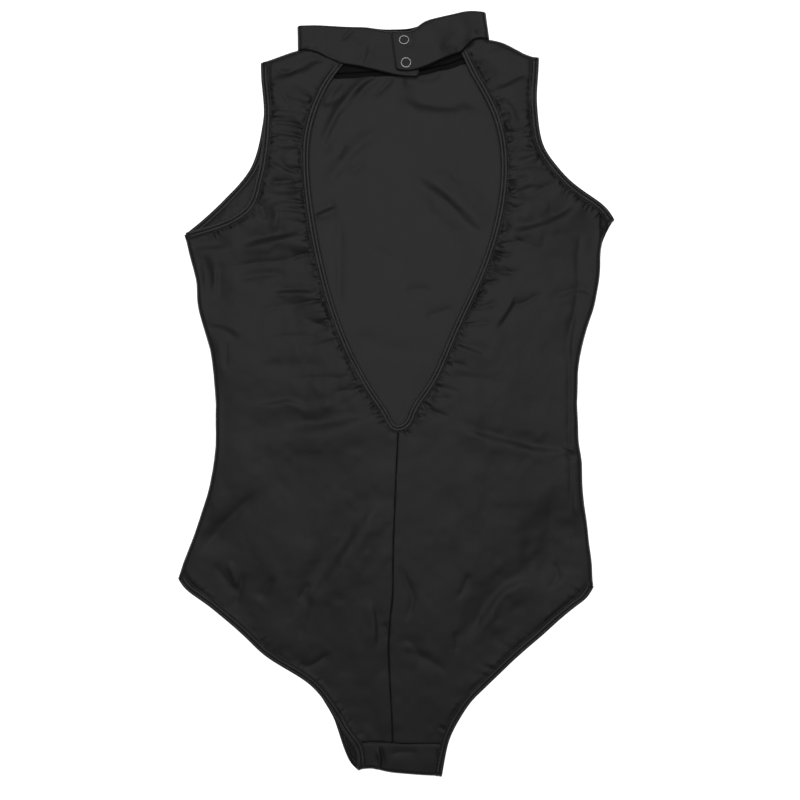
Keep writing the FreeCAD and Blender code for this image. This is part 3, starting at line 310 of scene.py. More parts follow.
# ------------------------------------------------------------------ folds pressed into the cloth
# (points, depth, width, kind): v valley, r ridge, f a fold whose raised side is on its right, g on its left
BACK_FOLDS = [
    ([(-140.4, 131.8), (-120.6, 138.2), (-99.9, 141.8), (-77.4, 145.3)], 1.9, 3.2, 'f'),
    ([(-95.4, 122.0), (-81.9, 126.5), (-76.5, 131.0)], 1, 1.8, 'v'),
    ([(-147.6, 104.0), (-122.4, 108.5), (-95.4, 111.2)], 0.7, 5, 'v'),
    ([(-113.4, 90.5), (-95.4, 92.2), (-68.4, 91.4)], 0.9, 2.6, 'f'),
    ([(-171.9, 60.8), (-162.9, 61.6), (-149.4, 57.1), (-137.7, 48.1)], 0.9, 2.6, 'g'),
    ([(-153.0, 50.0), (-153.0, 35.6), (-153.0, 21.2)], 0.6, 2.2, 'v'),
    ([(-131.4, 27.4), (-95.4, 25.7), (-59.4, 28.4)], 1, 7, 'v'),
    ([(-134.1, -5.9), (-126.9, -8.6), (-108.9, -7.7), (-95.4, -5.9), (-86.4, -9.5), (-68.4, -8.6), (-50.4, -5.9)], 1.2, 3.4, 'f'),
    ([(-104.4, -31.1), (-68.4, -28.4), (-41.4, -23.9), (-14.4, -19.4)], 1.7, 5.2, 'f'),
    ([(-185.4, 129.2), (-162.9, 131.8), (-147.6, 131.0)], 1.2, 3, 'f'),
    ([(-170.1, 124.7), (-166.5, 100.4), (-168.3, 75.2)], 0.7, 4.5, 'v'),
    ([(-156.6, 122.0), (-159.3, 100.4), (-156.6, 78.8)], 0.6, 4, 'v'),
    ([(-113.4, 210.2), (-101.7, 201.2), (-92.7, 197.6)], 0.9, 2.4, 'f'),
    ([(-117.0, 255.2), (-104.4, 256.1), (-90.0, 252.5)], 0.8, 2, 'v'),
    ([(-115.2, 248.0), (-101.7, 248.0), (-88.2, 247.1)], 0.7, 1.8, 'v'),
    ([(-113.4, 242.6), (-99.9, 243.5), (-86.4, 242.6)], 0.7, 1.8, 'v'),
    ([(-115.2, 230.8), (-100.8, 232.7), (-86.4, 230.0)], 0.9, 2.2, 'f'),
    ([(-115.2, 189.5), (-99.9, 189.5), (-86.4, 191.2)], 0.7, 2.2, 'v'),
    ([(-117.0, 183.2), (-99.9, 181.3), (-83.7, 183.2)], 0.8, 2.6, 'v'),
    ([(-115.2, 281.2), (-99.9, 285.8), (-86.4, 291.2), (-72.9, 297.4), (-56.7, 298.4)], 1.3, 2.4, 'f'),
    ([(84.6, 274.9), (98.1, 277.7), (111.6, 283.9), (120.6, 285.8)], 1.2, 2.6, 'f'),
    ([(98.1, 264.2), (102.6, 255.2), (107.1, 241.7)], 0.8, 3.2, 'r'),
    ([(93.6, 236.2), (99.9, 235.3), (108.0, 234.5)], 0.8, 1.8, 'v'),
    ([(107.1, 229.1), (115.2, 230.0), (124.2, 230.8)], 0.7, 1.8, 'v'),
    ([(96.3, 224.6), (106.2, 223.7), (116.1, 224.6)], 0.7, 1.8, 'v'),
    ([(104.4, 210.2), (117.9, 212.8), (131.4, 216.5)], 1, 2.4, 'f'),
    ([(97.2, 189.5), (109.8, 192.2), (122.4, 195.8)], 0.8, 2.4, 'v'),
    ([(111.6, 169.7), (129.6, 183.2), (147.6, 192.2)], 0.8, 4, 'v'),
    ([(93.6, 145.3), (120.6, 149.8), (143.1, 158.0), (161.1, 169.7), (167.4, 178.7)], 1.9, 3.6, 'f'),
    ([(84.6, 126.5), (94.5, 125.5), (105.3, 125.5)], 0.8, 1.6, 'v'),
    ([(83.7, 121.0), (90.9, 120.2), (99.9, 120.2)], 0.7, 1.6, 'v'),
    ([(81.9, 111.2), (98.1, 109.4), (116.1, 110.2)], 0.8, 2, 'v'),
    ([(74.7, 98.5), (84.6, 100.4), (94.5, 102.2)], 1, 1.7, 'v'),
    ([(70.2, 87.8), (76.5, 90.5), (82.8, 93.2)], 0.9, 1.5, 'v'),
    ([(88.2, 57.1), (98.1, 70.7), (104.4, 81.5), (106.2, 91.4)], 1.2, 2.2, 'g'),
    ([(102.6, 78.8), (116.1, 82.4), (130.5, 92.2)], 0.9, 2, 'v'),
    ([(138.6, 81.5), (152.1, 88.7), (165.6, 92.2), (179.1, 84.2)], 1, 2.6, 'f'),
    ([(46.8, 44.6), (57.6, 43.6), (71.1, 38.2), (83.7, 31.9)], 1.1, 2.6, 'f'),
    ([(37.8, 14.0), (75.6, 14.0), (103.5, 7.7)], 0.8, 5, 'v'),
    ([(28.8, -4.0), (39.6, -4.0), (50.4, -4.0)], 0.7, 2.4, 'v'),
    ([(46.8, -22.9), (66.6, -32.9), (84.6, -39.1), (102.6, -43.6), (129.6, -50.0), (162.9, -49.1)], 1.7, 3.8, 'f'),
    ([(147.6, -45.5), (158.4, -50.0), (167.4, -53.6)], 0.9, 2.2, 'r'),
    ([(165.6, 149.0), (163.8, 129.2), (162.0, 100.4)], 0.6, 3, 'v'),
    ([(160.2, 77.0), (153.0, 48.1), (153.0, 23.9)], 0.7, 3.4, 'v'),
    ([(147.6, -57.1), (156.6, -59.0), (167.4, -56.2)], 0.9, 2.2, 'f'),
    ([(-9.0, -79.7), (-23.4, -102.2), (-45.9, -138.2), (-66.6, -167.8), (-81.0, -188.6), (-91.8, -210.2)], 2.3, 7, 'g'),
    ([(-120.6, -84.2), (-135.9, -98.5), (-156.6, -118.4), (-178.2, -146.2)], 1.7, 6, 'v'),
    ([(-135.9, -158.8), (-140.4, -172.3), (-144.9, -195.8)], 0.9, 3, 'v'),
    ([(-108.0, -161.6), (-117.0, -175.1), (-125.1, -186.8)], 0.9, 3, 'v'),
    ([(-77.4, -176.8), (-81.9, -199.3), (-87.3, -223.7)], 0.9, 3.4, 'v'),
    ([(-58.5, -230.0), (-76.5, -243.5), (-91.8, -245.2)], 0.9, 3, 'v'),
    ([(-23.4, -181.3), (-19.8, -194.8), (-18.0, -212.8), (-18.0, -232.7)], 1.1, 2.4, 'f'),
    ([(-11.7, -203.8), (-9.0, -212.8), (-7.2, -221.8)], 0.7, 1.8, 'v'),
    ([(3.6, -152.6), (10.8, -172.3), (14.4, -185.8), (7.2, -205.7)], 1, 2.8, 'v'),
    ([(136.8, -83.2), (138.6, -127.4), (127.8, -178.7)], 1.8, 13, 'v'),
    ([(140.4, -148.1), (144.0, -163.3), (135.0, -176.0)], 0.8, 2.6, 'v'),
    ([(134.1, -166.1), (107.1, -169.7), (90.9, -181.3), (77.4, -202.1), (60.3, -229.1)], 2.2, 5, 'g'),
    ([(53.1, -211.1), (54.0, -221.8), (54.0, -232.7)], 0.7, 2.2, 'v'),
    ([(6.3, -230.0), (30.6, -239.8), (45.9, -251.6)], 0.8, 4.2, 'v'),
    ([(168.3, 153.5), (163.3, 130.1), (163.3, 102.2), (160.0, 75.2), (156.3, 54.5), (154.8, 34.6), (154.8, -5.9), (154.8, -50.0), (156.3, -77.9), (157.5, -105.8), (160.2, -148.1), (162.9, -175.1)], 0.7, 1.6, 'v'),
    ([(-111.6, 294.8), (-99.9, 288.4), (-86.4, 291.2), (-70.2, 296.6)], 0.8, 2, 'v'),
    ([(-100.8, 270.4), (-98.1, 263.2), (-97.2, 255.2)], 0.5, 1.6, 'v'),
    ([(-109.8, 229.1), (-102.6, 229.1), (-95.4, 228.2), (-88.2, 225.5)], 1, 1.4, 'v'),
    ([(-107.1, 208.3), (-100.8, 203.0), (-93.6, 199.3), (-87.3, 196.7)], 1.1, 1.5, 'f'),
    ([(-113.4, 190.3), (-103.5, 191.2), (-86.4, 191.2)], 0.8, 1.4, 'v'),
    ([(-111.6, 171.5), (-108.0, 163.3), (-108.9, 152.6), (-111.6, 143.6)], 0.9, 3.4, 'r'),
    ([(-124.2, 173.2), (-120.6, 165.2), (-117.0, 154.3)], 0.9, 3, 'v'),
    ([(-153.9, 131.8), (-131.4, 133.7), (-108.9, 138.2), (-86.4, 144.5)], 1, 3.4, 'f'),
    ([(-148.5, 113.9), (-120.6, 118.4), (-99.9, 120.2), (-81.0, 128.2)], 0.8, 2.4, 'v'),
    ([(-144.9, 103.0), (-120.6, 106.7), (-95.4, 107.5)], 0.6, 3, 'v'),
    ([(-171.9, 129.2), (-171.0, 109.4), (-172.8, 91.4)], 0.9, 3.2, 'v'),
    ([(-164.7, 122.9), (-162.9, 109.4), (-165.6, 84.2)], 0.6, 3, 'r'),
    ([(-113.4, 90.5), (-90.9, 92.2), (-68.4, 90.5)], 0.9, 2, 'f'),
    ([(-131.4, 69.8), (-104.4, 78.8), (-77.4, 80.5)], 0.6, 3.4, 'v'),
    ([(-86.4, 68.0), (-72.9, 64.4), (-59.4, 57.1)], 0.7, 2.2, 'v'),
    ([(-120.6, 48.1), (-90.9, 52.6), (-63.9, 50.0)], 0.6, 3, 'v'),
    ([(-95.4, 12.2), (-68.4, 14.8), (-41.4, 14.0)], 0.7, 3, 'v'),
    ([(-59.4, 1.4), (-41.4, 3.1), (-25.2, 1.4)], 0.8, 2.2, 'v'),
    ([(98.1, 219.2), (111.6, 220.1), (125.1, 222.8)], 0.8, 1.6, 'v'),
    ([(96.3, 201.2), (111.6, 203.8), (129.6, 205.7)], 0.8, 2, 'v'),
    ([(93.6, 177.8), (107.1, 180.5), (125.1, 186.8)], 0.8, 2.4, 'v'),
    ([(90.9, 164.2), (107.1, 167.0), (120.6, 171.5)], 0.8, 2.2, 'v'),
    ([(86.4, 135.5), (100.8, 135.5), (116.1, 138.2)], 0.8, 2.2, 'v'),
    ([(64.8, 77.0), (80.1, 78.8), (93.6, 84.2)], 0.8, 2, 'v'),
    ([(59.4, 61.6), (73.8, 63.5), (86.4, 64.4)], 0.7, 2.2, 'v'),
    ([(39.6, 28.4), (53.1, 27.4), (66.6, 23.9)], 0.8, 2.2, 'v'),
    ([(32.4, 6.8), (45.0, 5.0), (59.4, 0.5)], 0.8, 2.2, 'v'),
    ([(21.6, -13.1), (36.0, -16.7), (50.4, -22.1)], 0.8, 2.2, 'v'),
    ([(-153.9, -55.4), (-122.4, -39.1), (-68.4, -32.9), (-18.9, -23.9)], 1.4, 7, 'f'),
    ([(-165.6, -149.8), (-156.6, -162.5), (-142.2, -182.2)], 0.8, 3.4, 'v'),
    ([(-151.2, -148.1), (-145.8, -163.3), (-140.4, -176.8)], 0.8, 3, 'r'),
    ([(-90.0, -185.8), (-83.7, -178.7), (-78.3, -167.8)], 0.7, 2.2, 'v'),
    ([(1.8, -229.1), (10.8, -224.6), (18.0, -235.3), (16.2, -250.7)], 0.8, 2.6, 'f'),
    ([(54.0, -185.8), (61.2, -172.3), (66.6, -158.8)], 0.8, 2.6, 'v'),
]
FRONT_FOLDS = [
    ([(-23.4, 282.2), (-41.4, 266.9), (-54.9, 250.7), (-66.6, 217.3)], 1.1, 4, 'r'),
    ([(-75.6, 159.8), (-63.9, 165.2), (-51.3, 169.7)], 1.6, 2, 'f'),
    ([(-51.3, 169.7), (-51.3, 120.2), (-51.3, 73.4)], 0.8, 2.4, 'v'),
    ([(-2.7, 266.9), (17.1, 259.7), (48.6, 257.9), (62.1, 258.8), (77.4, 252.5)], 1.4, 5, 'f'),
    ([(12.6, 260.6), (39.6, 257.9), (63.0, 256.1)], 0.9, 2.6, 'v'),
    ([(12.6, 200.2), (30.6, 187.7), (48.6, 174.2), (66.6, 156.2), (84.6, 140.8)], 1.8, 5, 'g'),
    ([(6.3, 93.2), (19.8, 94.0), (32.4, 95.0)], 0.6, 3, 'v'),
    ([(25.2, 67.0), (39.6, 73.4), (54.0, 77.9)], 0.7, 3, 'v'),
    ([(5.4, 278.6), (13.5, 274.9), (22.5, 272.2)], 0.6, 2.4, 'v'),
    ([(5.4, 280.4), (30.6, 280.4), (43.2, 284.9)], 0.7, 2, 'v'),
    ([(-69.3, 260.6), (-54.9, 264.2), (-45.0, 266.9)], 0.8, 2.8, 'v'),
    ([(-32.4, 138.2), (-9.9, 124.7), (21.6, 118.4)], 0.6, 9, 'v'),
    ([(-41.4, 57.1), (-14.4, 43.6), (21.6, 39.1)], 0.6, 9, 'v'),
    ([(-9.9, 283.1), (-21.6, 278.6), (-32.4, 271.4), (-41.4, 264.2)], 1.2, 2.2, 'f'),
    ([(-0.9, 282.2), (-11.7, 271.4), (-21.6, 264.2)], 0.9, 2, 'v'),
    ([(7.2, 282.2), (16.2, 276.8), (25.2, 271.4), (36.0, 268.7)], 1, 1.8, 'g'),
    ([(14.4, 280.4), (28.8, 278.6), (41.4, 282.2)], 0.9, 1.6, 'v'),
    ([(19.8, 273.2), (32.4, 270.4), (45.0, 272.2)], 0.8, 2, 'v'),
    ([(-9.4, 243.5), (-30.6, 227.2), (-45.9, 212.4), (-57.6, 195.8), (-68.4, 178.7)], 0.7, 5.5, 'r'),
    ([(-52.2, 210.2), (-49.5, 219.2), (-44.1, 225.5)], 0.5, 1.8, 'v'),
    ([(-44.1, 195.8), (-36.0, 203.0), (-27.0, 210.2)], 0.5, 2.2, 'v'),
    ([(-54.9, 246.2), (-61.2, 228.2), (-64.8, 212.0)], 0.7, 2.6, 'v'),
    ([(-46.8, 279.4), (-57.6, 270.4), (-63.9, 256.9)], 0.9, 2.4, 'v'),
]
COLLAR_FOLDS = [
    ([(-88.2, 309.2), (-79.2, 310.1), (-70.2, 311.4)], 0.7, 1.2, 'v'),
    ([(-83.7, 311.5), (-77.4, 310.9), (-71.1, 309.5)], 0.5, 1, 'r'),
    ([(-37.4, 327.6), (-44.1, 321.8), (-51.3, 316.6)], 0.6, 1.4, 'v'),
    ([(-23.4, 314.6), (-27.9, 301.2), (-30.6, 292.5)], 0.8, 1.8, 'f'),
    ([(63.0, 328.1), (50.9, 320.4), (38.7, 308.2)], 0.7, 4, 'v'),
    ([(59.0, 312.3), (55.8, 310.1), (52.6, 307.9)], 0.5, 1.2, 'v'),
    ([(17.1, 328.1), (14.8, 320.4), (17.1, 315.4)], 0.45, 1.4, 'r'),
    ([(-13.7, 323.6), (-19.4, 319.8), (-26.1, 312.1), (-28.9, 304.7)], 0.5, 2.6, 'f'),
    ([(-38.3, 328.3), (-45.0, 324.4), (-49.8, 317.9)], 0.5, 2, 'f'),
    ([(7.2, 314.0), (11.1, 312.1), (14.8, 315.5), (18.6, 316.9)], 0.35, 1.2, 'v'),
    ([(16.7, 324.4), (26.1, 332.1), (35.7, 335.0)], 0.45, 2, 'f'),
    ([(37.6, 307.4), (45.3, 312.1), (54.7, 315.9)], 0.35, 2.2, 'v'),
    ([(69.9, 323.6), (76.5, 326.4), (81.4, 327.3)], 0.6, 2, 'v'),
    ([(56.7, 309.3), (64.3, 315.9), (69.9, 319.8)], 0.5, 1.8, 'v'),
    ([(-67.0, 306.0), (-59.4, 303.3), (-52.2, 299.7)], 0.6, 1.1, 'v'),
]

EDGE_EASE = [
    (69, 344, -0.1, 0.3), (61, 343, -0.1, 0.9), (75, 343, -0.1, -0.3), (51, 341, 0.0, 0.0), (81, 340, -0.6, -0.2), (42, 339, 0.1, -0.2),
    (35, 338, 0.1, -0.5), (28, 336, 0.0, -0.1), (81, 334, -0.4, -0.1), (23, 333, -0.2, 0.2), (-87, 330, 0.0, 0.0), (-81, 330, -0.0, 0.4),
    (-74, 330, 0.0, 0.7), (-68, 330, 0.0, 0.6), (15, 330, 0.4, -2.6), (-62, 329, 0.0, 0.4), (-55, 329, 0.0, 0.5), (-49, 329, 0.0, 0.2),
    (6, 329, 0.3, -2.3), (-43, 328, 0.0, 0.7), (-36, 328, 0.1, 0.8), (-4, 328, 0.2, -1.5), (-30, 328, 0.1, 1.6), (-24, 328, 0.0, 1.8),
    (-18, 328, 0.0, 0.1), (-11, 328, 0.0, -1.2), (82, 328, 0.0, 0.0), (-88, 324, 0.0, 0.0), (83, 321, 0.0, 0.0), (-88, 318, 0.0, 0.0),
    (88, 317, 0.0, 0.0), (94, 315, 0.2, 0.6), (99, 312, 0.3, 0.7), (-88, 311, -0.4, 0.1), (105, 310, 0.4, 0.7), (-92, 307, -0.1, 0.1),
    (110, 307, 0.3, 0.5), (-99, 305, 0.1, -0.2), (116, 304, 0.0, 0.0), (-107, 302, 0.2, -0.4), (122, 302, 0.1, 0.4), (-114, 300, 0.3, -0.7),
    (127, 300, 0.5, 0.2), (-120, 297, -0.3, 0.0), (127, 293, 0.7, -0.0), (-120, 291, -0.9, 0.0), (126, 287, 0.5, -0.1), (-120, 284, -0.9, -0.1),
    (126, 281, 0.5, -0.0), (-119, 278, -0.8, -0.1), (126, 274, 0.1, -0.0), (-119, 272, -0.6, -0.1), (126, 268, 0.0, 0.0), (-118, 266, -0.6, -0.0),
    (126, 262, 0.1, 0.0), (-118, 259, -0.2, -0.0), (126, 256, 0.6, 0.0), (-117, 253, -0.6, -0.0), (126, 249, 0.8, 0.0), (-117, 247, -0.9, 0.1),
    (127, 243, 0.7, 0.1), (-118, 240, -1.4, 0.2), (128, 237, 0.6, 0.1), (-119, 234, -1.5, 0.3), (130, 230, 0.0, 0.0), (-121, 228, -1.4, 0.3),
    (132, 224, -0.3, -0.1), (-122, 221, -1.2, 0.4), (135, 219, -0.1, -0.0), (-125, 215, -0.7, 0.3), (137, 213, 0.5, 0.3), (-126, 209, -0.4, 0.2),
    (141, 208, 0.9, 0.7), (-129, 203, 0.0, 0.0), (145, 202, 0.8, 0.7), (-133, 198, -0.2, 0.1), (150, 198, 0.4, 0.4), (154, 194, 0.1, 0.2),
    (-136, 193, -0.5, 0.4), (159, 189, 0.1, 0.2), (-140, 187, -0.7, 0.6), (164, 184, 0.3, 0.3), (-144, 183, -0.9, 0.8), (170, 180, 0.4, 0.6),
    (-149, 177, -1.2, 1.1), (175, 176, 0.8, 1.0), (-153, 173, -1.0, 1.0), (180, 172, 1.0, 1.3), (-159, 168, -0.6, 0.7), (186, 167, 1.0, 1.1),
    (-163, 164, -0.6, 0.6), (190, 163, 0.9, 0.8), (-169, 159, -0.3, 0.3), (195, 158, 0.5, 0.2), (-174, 155, -0.2, 0.3), (192, 151, 0.0, 0.0),
    (-180, 150, 0.0, 0.0), (-185, 146, -0.6, 0.7), (189, 146, -0.1, 0.1), (-189, 141, 0.1, 0.1), (187, 140, 0.0, 0.0), (-187, 135, -0.5, -0.2),
    (185, 134, -1.0, 0.2), (-185, 129, -1.4, -0.4), (184, 128, -0.7, 0.1), (-183, 122, -1.4, -0.4), (183, 122, 0.3, -0.0), (-182, 116, -1.0, -0.2),
    (182, 115, 1.0, -0.1), (-180, 110, -0.3, -0.0), (181, 109, 1.4, -0.2), (-180, 104, 0.4, 0.1), (181, 103, 1.4, -0.2), (-179, 97, 0.5, 0.1),
    (180, 96, 0.7, -0.1), (-178, 91, -0.9, -0.1), (180, 90, 0.5, -0.1), (-177, 85, -1.8, -0.2), (178, 84, 0.8, -0.2), (-176, 78, -1.9, -0.4),
    (177, 77, 1.2, -0.3), (-175, 72, -1.5, -0.3), (175, 71, 0.6, -0.2), (-173, 66, -1.0, -0.2), (173, 65, 0.3, -0.1), (-171, 59, -0.7, -0.2),
    (171, 58, 0.2, -0.1), (-171, 53, -0.2, -0.0), (169, 52, 0.4, -0.1), (-169, 47, 0.2, 0.0), (167, 46, 0.5, -0.1), (-168, 40, 1.0, 0.2),
    (166, 40, 0.5, -0.1), (-166, 34, 0.6, 0.1), (164, 33, 0.4, -0.1), (-165, 28, 0.3, 0.1), (163, 27, 0.4, -0.0), (-164, 22, 0.1, 0.0),
    (163, 21, 0.0, 0.0), (-163, 15, 0.0, 0.0), (162, 14, 0.3, 0.0), (-162, 9, -0.3, -0.0), (162, 8, 0.9, -0.0), (-162, 3, -0.4, -0.0),
    (162, 2, 0.5, -0.0), (-162, -4, -0.2, -0.0), (162, -4, 0.2, -0.0), (-162, -10, -0.2, -0.0), (162, -11, 0.0, 0.0), (-161, -16, -0.6, -0.0),
    (162, -17, 0.3, 0.0), (-161, -22, -1.2, -0.0), (162, -23, 0.8, 0.0), (-161, -29, -0.8, 0.0), (162, -30, 0.6, 0.0), (-161, -35, -0.5, 0.0),
    (163, -36, 0.2, 0.0), (-162, -41, 0.0, 0.0), (163, -42, 0.2, 0.0), (-162, -48, 0.2, -0.0), (164, -49, 0.3, 0.0), (-162, -54, 0.0, 0.0),
    (164, -55, 2.0, 0.1), (-163, -60, 0.0, 0.0), (165, -61, 2.1, 0.3), (-164, -67, 0.0, 0.0), (165, -68, 1.5, 0.2), (-165, -73, -0.1, 0.0),
    (166, -74, 0.8, 0.0), (-166, -79, -0.2, 0.0), (167, -80, 0.2, 0.0), (-168, -86, 0.0, 0.0), (168, -86, -0.2, -0.0), (-169, -92, -0.2, 0.0),
    (168, -93, -0.3, -0.0), (-171, -98, -0.5, 0.2), (169, -99, -0.5, -0.0), (-172, -104, -0.7, 0.2), (170, -105, 0.0, 0.0), (-175, -111, -0.7, 0.2),
    (171, -112, 0.3, 0.0), (-177, -117, -0.3, 0.1), (171, -118, 0.5, 0.1), (-180, -122, 0.0, 0.0), (171, -124, 0.4, 0.0), (-181, -129, 0.0, 0.0),
    (172, -130, 0.0, 0.0), (-184, -135, 0.0, 0.0), (173, -137, 0.2, 0.0), (-186, -141, -0.2, 0.1), (174, -143, 0.5, 0.0), (-189, -148, -0.5, 0.2),
    (174, -149, 0.9, 0.1), (-190, -154, -0.5, 0.2), (175, -156, 0.7, 0.1), (-193, -160, -0.5, 0.2), (176, -162, 0.0, 0.0), (-195, -166, -0.4, -0.0),
    (177, -168, -0.7, -0.1), (-191, -172, -0.7, -0.5), (177, -175, -0.1, -0.2), (-187, -177, 0.0, 0.0), (172, -180, 1.8, -1.6), (-182, -182, 0.2, 0.2),
    (168, -184, 1.3, -1.2), (-177, -185, 0.5, 0.7), (-171, -190, 0.7, 0.9), (163, -190, 0.0, 0.0), (-166, -194, 0.5, 0.7), (158, -194, -0.5, 0.5),
    (-161, -198, 0.2, 0.3), (153, -199, -0.7, 0.8), (-155, -202, 0.1, 0.2), (148, -203, -0.7, 0.8), (-150, -206, 0.1, 0.1), (143, -208, -0.6, 0.6),
    (-145, -211, 0.2, 0.2), (137, -212, -0.2, 0.3), (-140, -215, 0.3, 0.3), (132, -217, 0.0, 0.0), (-135, -220, 0.4, 0.4), (126, -221, 0.0, 0.0),
    (-131, -224, 0.4, 0.4), (121, -226, -0.1, 0.2), (-126, -229, 0.1, 0.1), (117, -230, -0.1, 0.2), (-121, -233, 0.0, 0.0), (111, -235, -0.1, 0.1),
    (-116, -238, 0.1, 0.2), (107, -239, -0.3, 0.3), (-110, -241, 0.2, 0.2), (-105, -244, 0.1, 0.2), (101, -244, 0.0, 0.0), (-99, -248, 0.1, 0.2),
    (97, -248, 0.0, 0.0), (-94, -251, 0.2, 0.3), (91, -253, 0.2, -0.2), (-89, -254, 0.3, 0.4), (-83, -257, 0.4, 0.5), (87, -257, 0.1, -0.1),
    (-79, -262, 0.6, 0.8), (82, -262, 0.0, 0.0), (-73, -266, 0.7, 0.7), (78, -266, 0.0, 0.0), (-69, -271, 0.5, 0.4), (73, -271, -0.5, 0.4),
    (-65, -276, 0.4, 0.3), (69, -276, -0.8, 0.7), (-62, -282, 0.3, 0.2), (64, -282, -0.5, 0.4), (-59, -287, 0.7, 0.3), (61, -287, 0.0, 0.0),
    (-56, -292, 0.9, 0.4), (57, -292, 0.3, -0.2), (-54, -298, 0.0, 0.0), (54, -298, 0.3, -0.2), (-51, -303, -0.9, -0.4), (51, -303, 0.2, -0.1),
    (-48, -309, -1.5, -0.7), (48, -309, 0.0, 0.0), (-45, -315, -2.0, -0.8), (46, -315, 0.4, -0.2), (-43, -321, -2.5, -1.1), (44, -321, 1.1, -0.3),
    (-40, -328, -2.6, -1.7), (43, -328, 1.3, -0.3), (-36, -333, -2.7, -2.2), (42, -334, 1.2, -0.2), (-31, -337, -0.5, -1.1), (-25, -337, 0.0, 0.4),
    (-18, -338, -0.0, -0.3), (-12, -338, -0.2, -1.5), (-6, -339, -0.3, -1.6), (0, -340, -0.2, -1.3), (41, -340, 0.7, -0.2), (7, -341, -0.1, -0.8),
    (13, -341, -0.0, -0.5), (19, -342, -0.0, -0.5), (26, -343, -0.0, -0.3), (32, -343, -0.0, -0.5)]



def crease(X, pts, depth, width, kind):
    P = spline(pts, 2.0)
    lo, hi = P.min(0) - 7.5 * width, P.max(0) + 7.5 * width
    out = np.zeros(len(X))
    m = np.all((X > lo) & (X < hi), axis=1)
    if not m.any():
        return out
    Y = X[m]
    r, d, s, run = near(P, Y)
    t = s / run
    fade = smooth(0.0, 0.3, t) * smooth(0.0, 0.3, 1 - t)
    w = width * (1 + 0.3 * noise2(Y[:, 0] / 9, Y[:, 1] / 9, 3))
    if kind == "v":
        e = 0.4 * w
        h = -np.exp(-(np.sqrt(d * d + e * e) - e) / w)
    elif kind == "r":
        h = np.exp(-(d / w) ** 2)
    elif kind == "f":
        h = 0.62 * np.tanh(d / (0.8 * w)) * np.exp(-(d / (3.0 * w)) ** 2)
    else:
        h = -0.62 * np.tanh(d / (0.8 * w)) * np.exp(-(d / (3.0 * w)) ** 2)
    out[m] = depth * h * fade
    return out


def creases(X, table):
    z = np.zeros(len(X))
    for pts, depth, width, kind in table:
        z += crease(X, pts, depth, width, kind)
    return z


def gathers(X, line, side, start, reach, amp, wave, seed, lean=0.0, s0=0, s1=1e9, inner=5.6):
    """Ruffles that run away from a bound edge, strongest beside it."""
    r, sd, s, run = near(line, X)
    d = sd * side
    on = (d > 0) & (r < start + reach * 3.2)
    z = np.zeros(len(X))
    d, s = d[on], s[on]
    s2 = s + lean * d
    a = noise2(s2 / wave, d / (reach * 1.3), seed)
    b = noise2(s2 / (wave * 0.42), d / (reach * 0.8), seed + 1)
    env = smooth(inner, inner + 3, d) * np.exp(-np.maximum(d - start, 0) / reach)
    env2 = smooth(inner - 0.3, inner + 1.2, d) * np.exp(-np.maximum(d - inner, 0) / (reach * 0.3))
    long = smooth(s0, s0 + 18, s) * smooth(0, 18, np.minimum(s1, run) - s)
    vary = 0.55 + 0.6 * (0.5 + 0.5 * noise2(s / 38, 0 * s, seed + 2))
    z[on] = amp * (a * env * 1.3 + 0.42 * b * env2) * long * vary
    return z


def cover(X):
    """1 in the open cloth, falling to 0 round the side and shoulder folds and at the crotch."""
    g = np.ones(len(X))
    for key, R in (("SIDE_L", 8.0), ("SIDE_R", 8.0), ("SHOULDER_L", 6.0), ("SHOULDER_R", 6.0), ("GUSSET_END", 5.0)):
        r = near(COARSE[key], X)[0]
        g *= rim(r, R)
    return g


def back_height(X, detail=True):
    z = ZM + (ZB - ZM) * cover(X)
    if detail:
        fade = smooth(0.5, 9, np.minimum(near(COARSE["SIDE_L"], X)[0], near(COARSE["SIDE_R"], X)[0]))
        bound = smooth(2, 9, bound_distance(X, "BACK"))
        w = creases(X, BACK_FOLDS)
        w += gathers(X, COARSE["OPENING"], 1, 8, 17, 1.15, 9.5, 20, 0.10, 20, 760, 5.6)
        w += gathers(X, COARSE["ARM_BACK_L"], -1, 8, 13, 0.95, 9.0, 30, 0.1, 30, 150)
        w += gathers(X, COARSE["ARM_BACK_R"], 1, 8, 13, 0.85, 9.5, 40, -0.1, 30, 150)
        w += gathers(X, COARSE["LEG_BACK_L"], -1, 7, 9, 0.40, 12.0, 50, 0.2)
        w += gathers(X, COARSE["LEG_BACK_R"], 1, 7, 9, 0.40, 12.0, 60, -0.2)
        w += 0.5 * noise2(X[:, 0] / 46, X[:, 1] / 60, 7) + 0.16 * noise2(X[:, 0] / 17, X[:, 1] / 21, 8)
        z = z + w * (0.25 + 0.75 * fade) * (0.1 + 0.9 * bound)
        r = near(COARSE["CB_SEAM"], X)[0]
        z -= 1.9 * np.exp(-(r / 0.9) ** 2) + 0.5 * np.exp(-(r / 3.2) ** 2)
        r = near(COARSE["CROTCH_B"], X)[0]
        z -= 1.0 * np.exp(-(r / 0.8) ** 2) + 0.35 * np.exp(-(r / 3.0) ** 2)
    return z


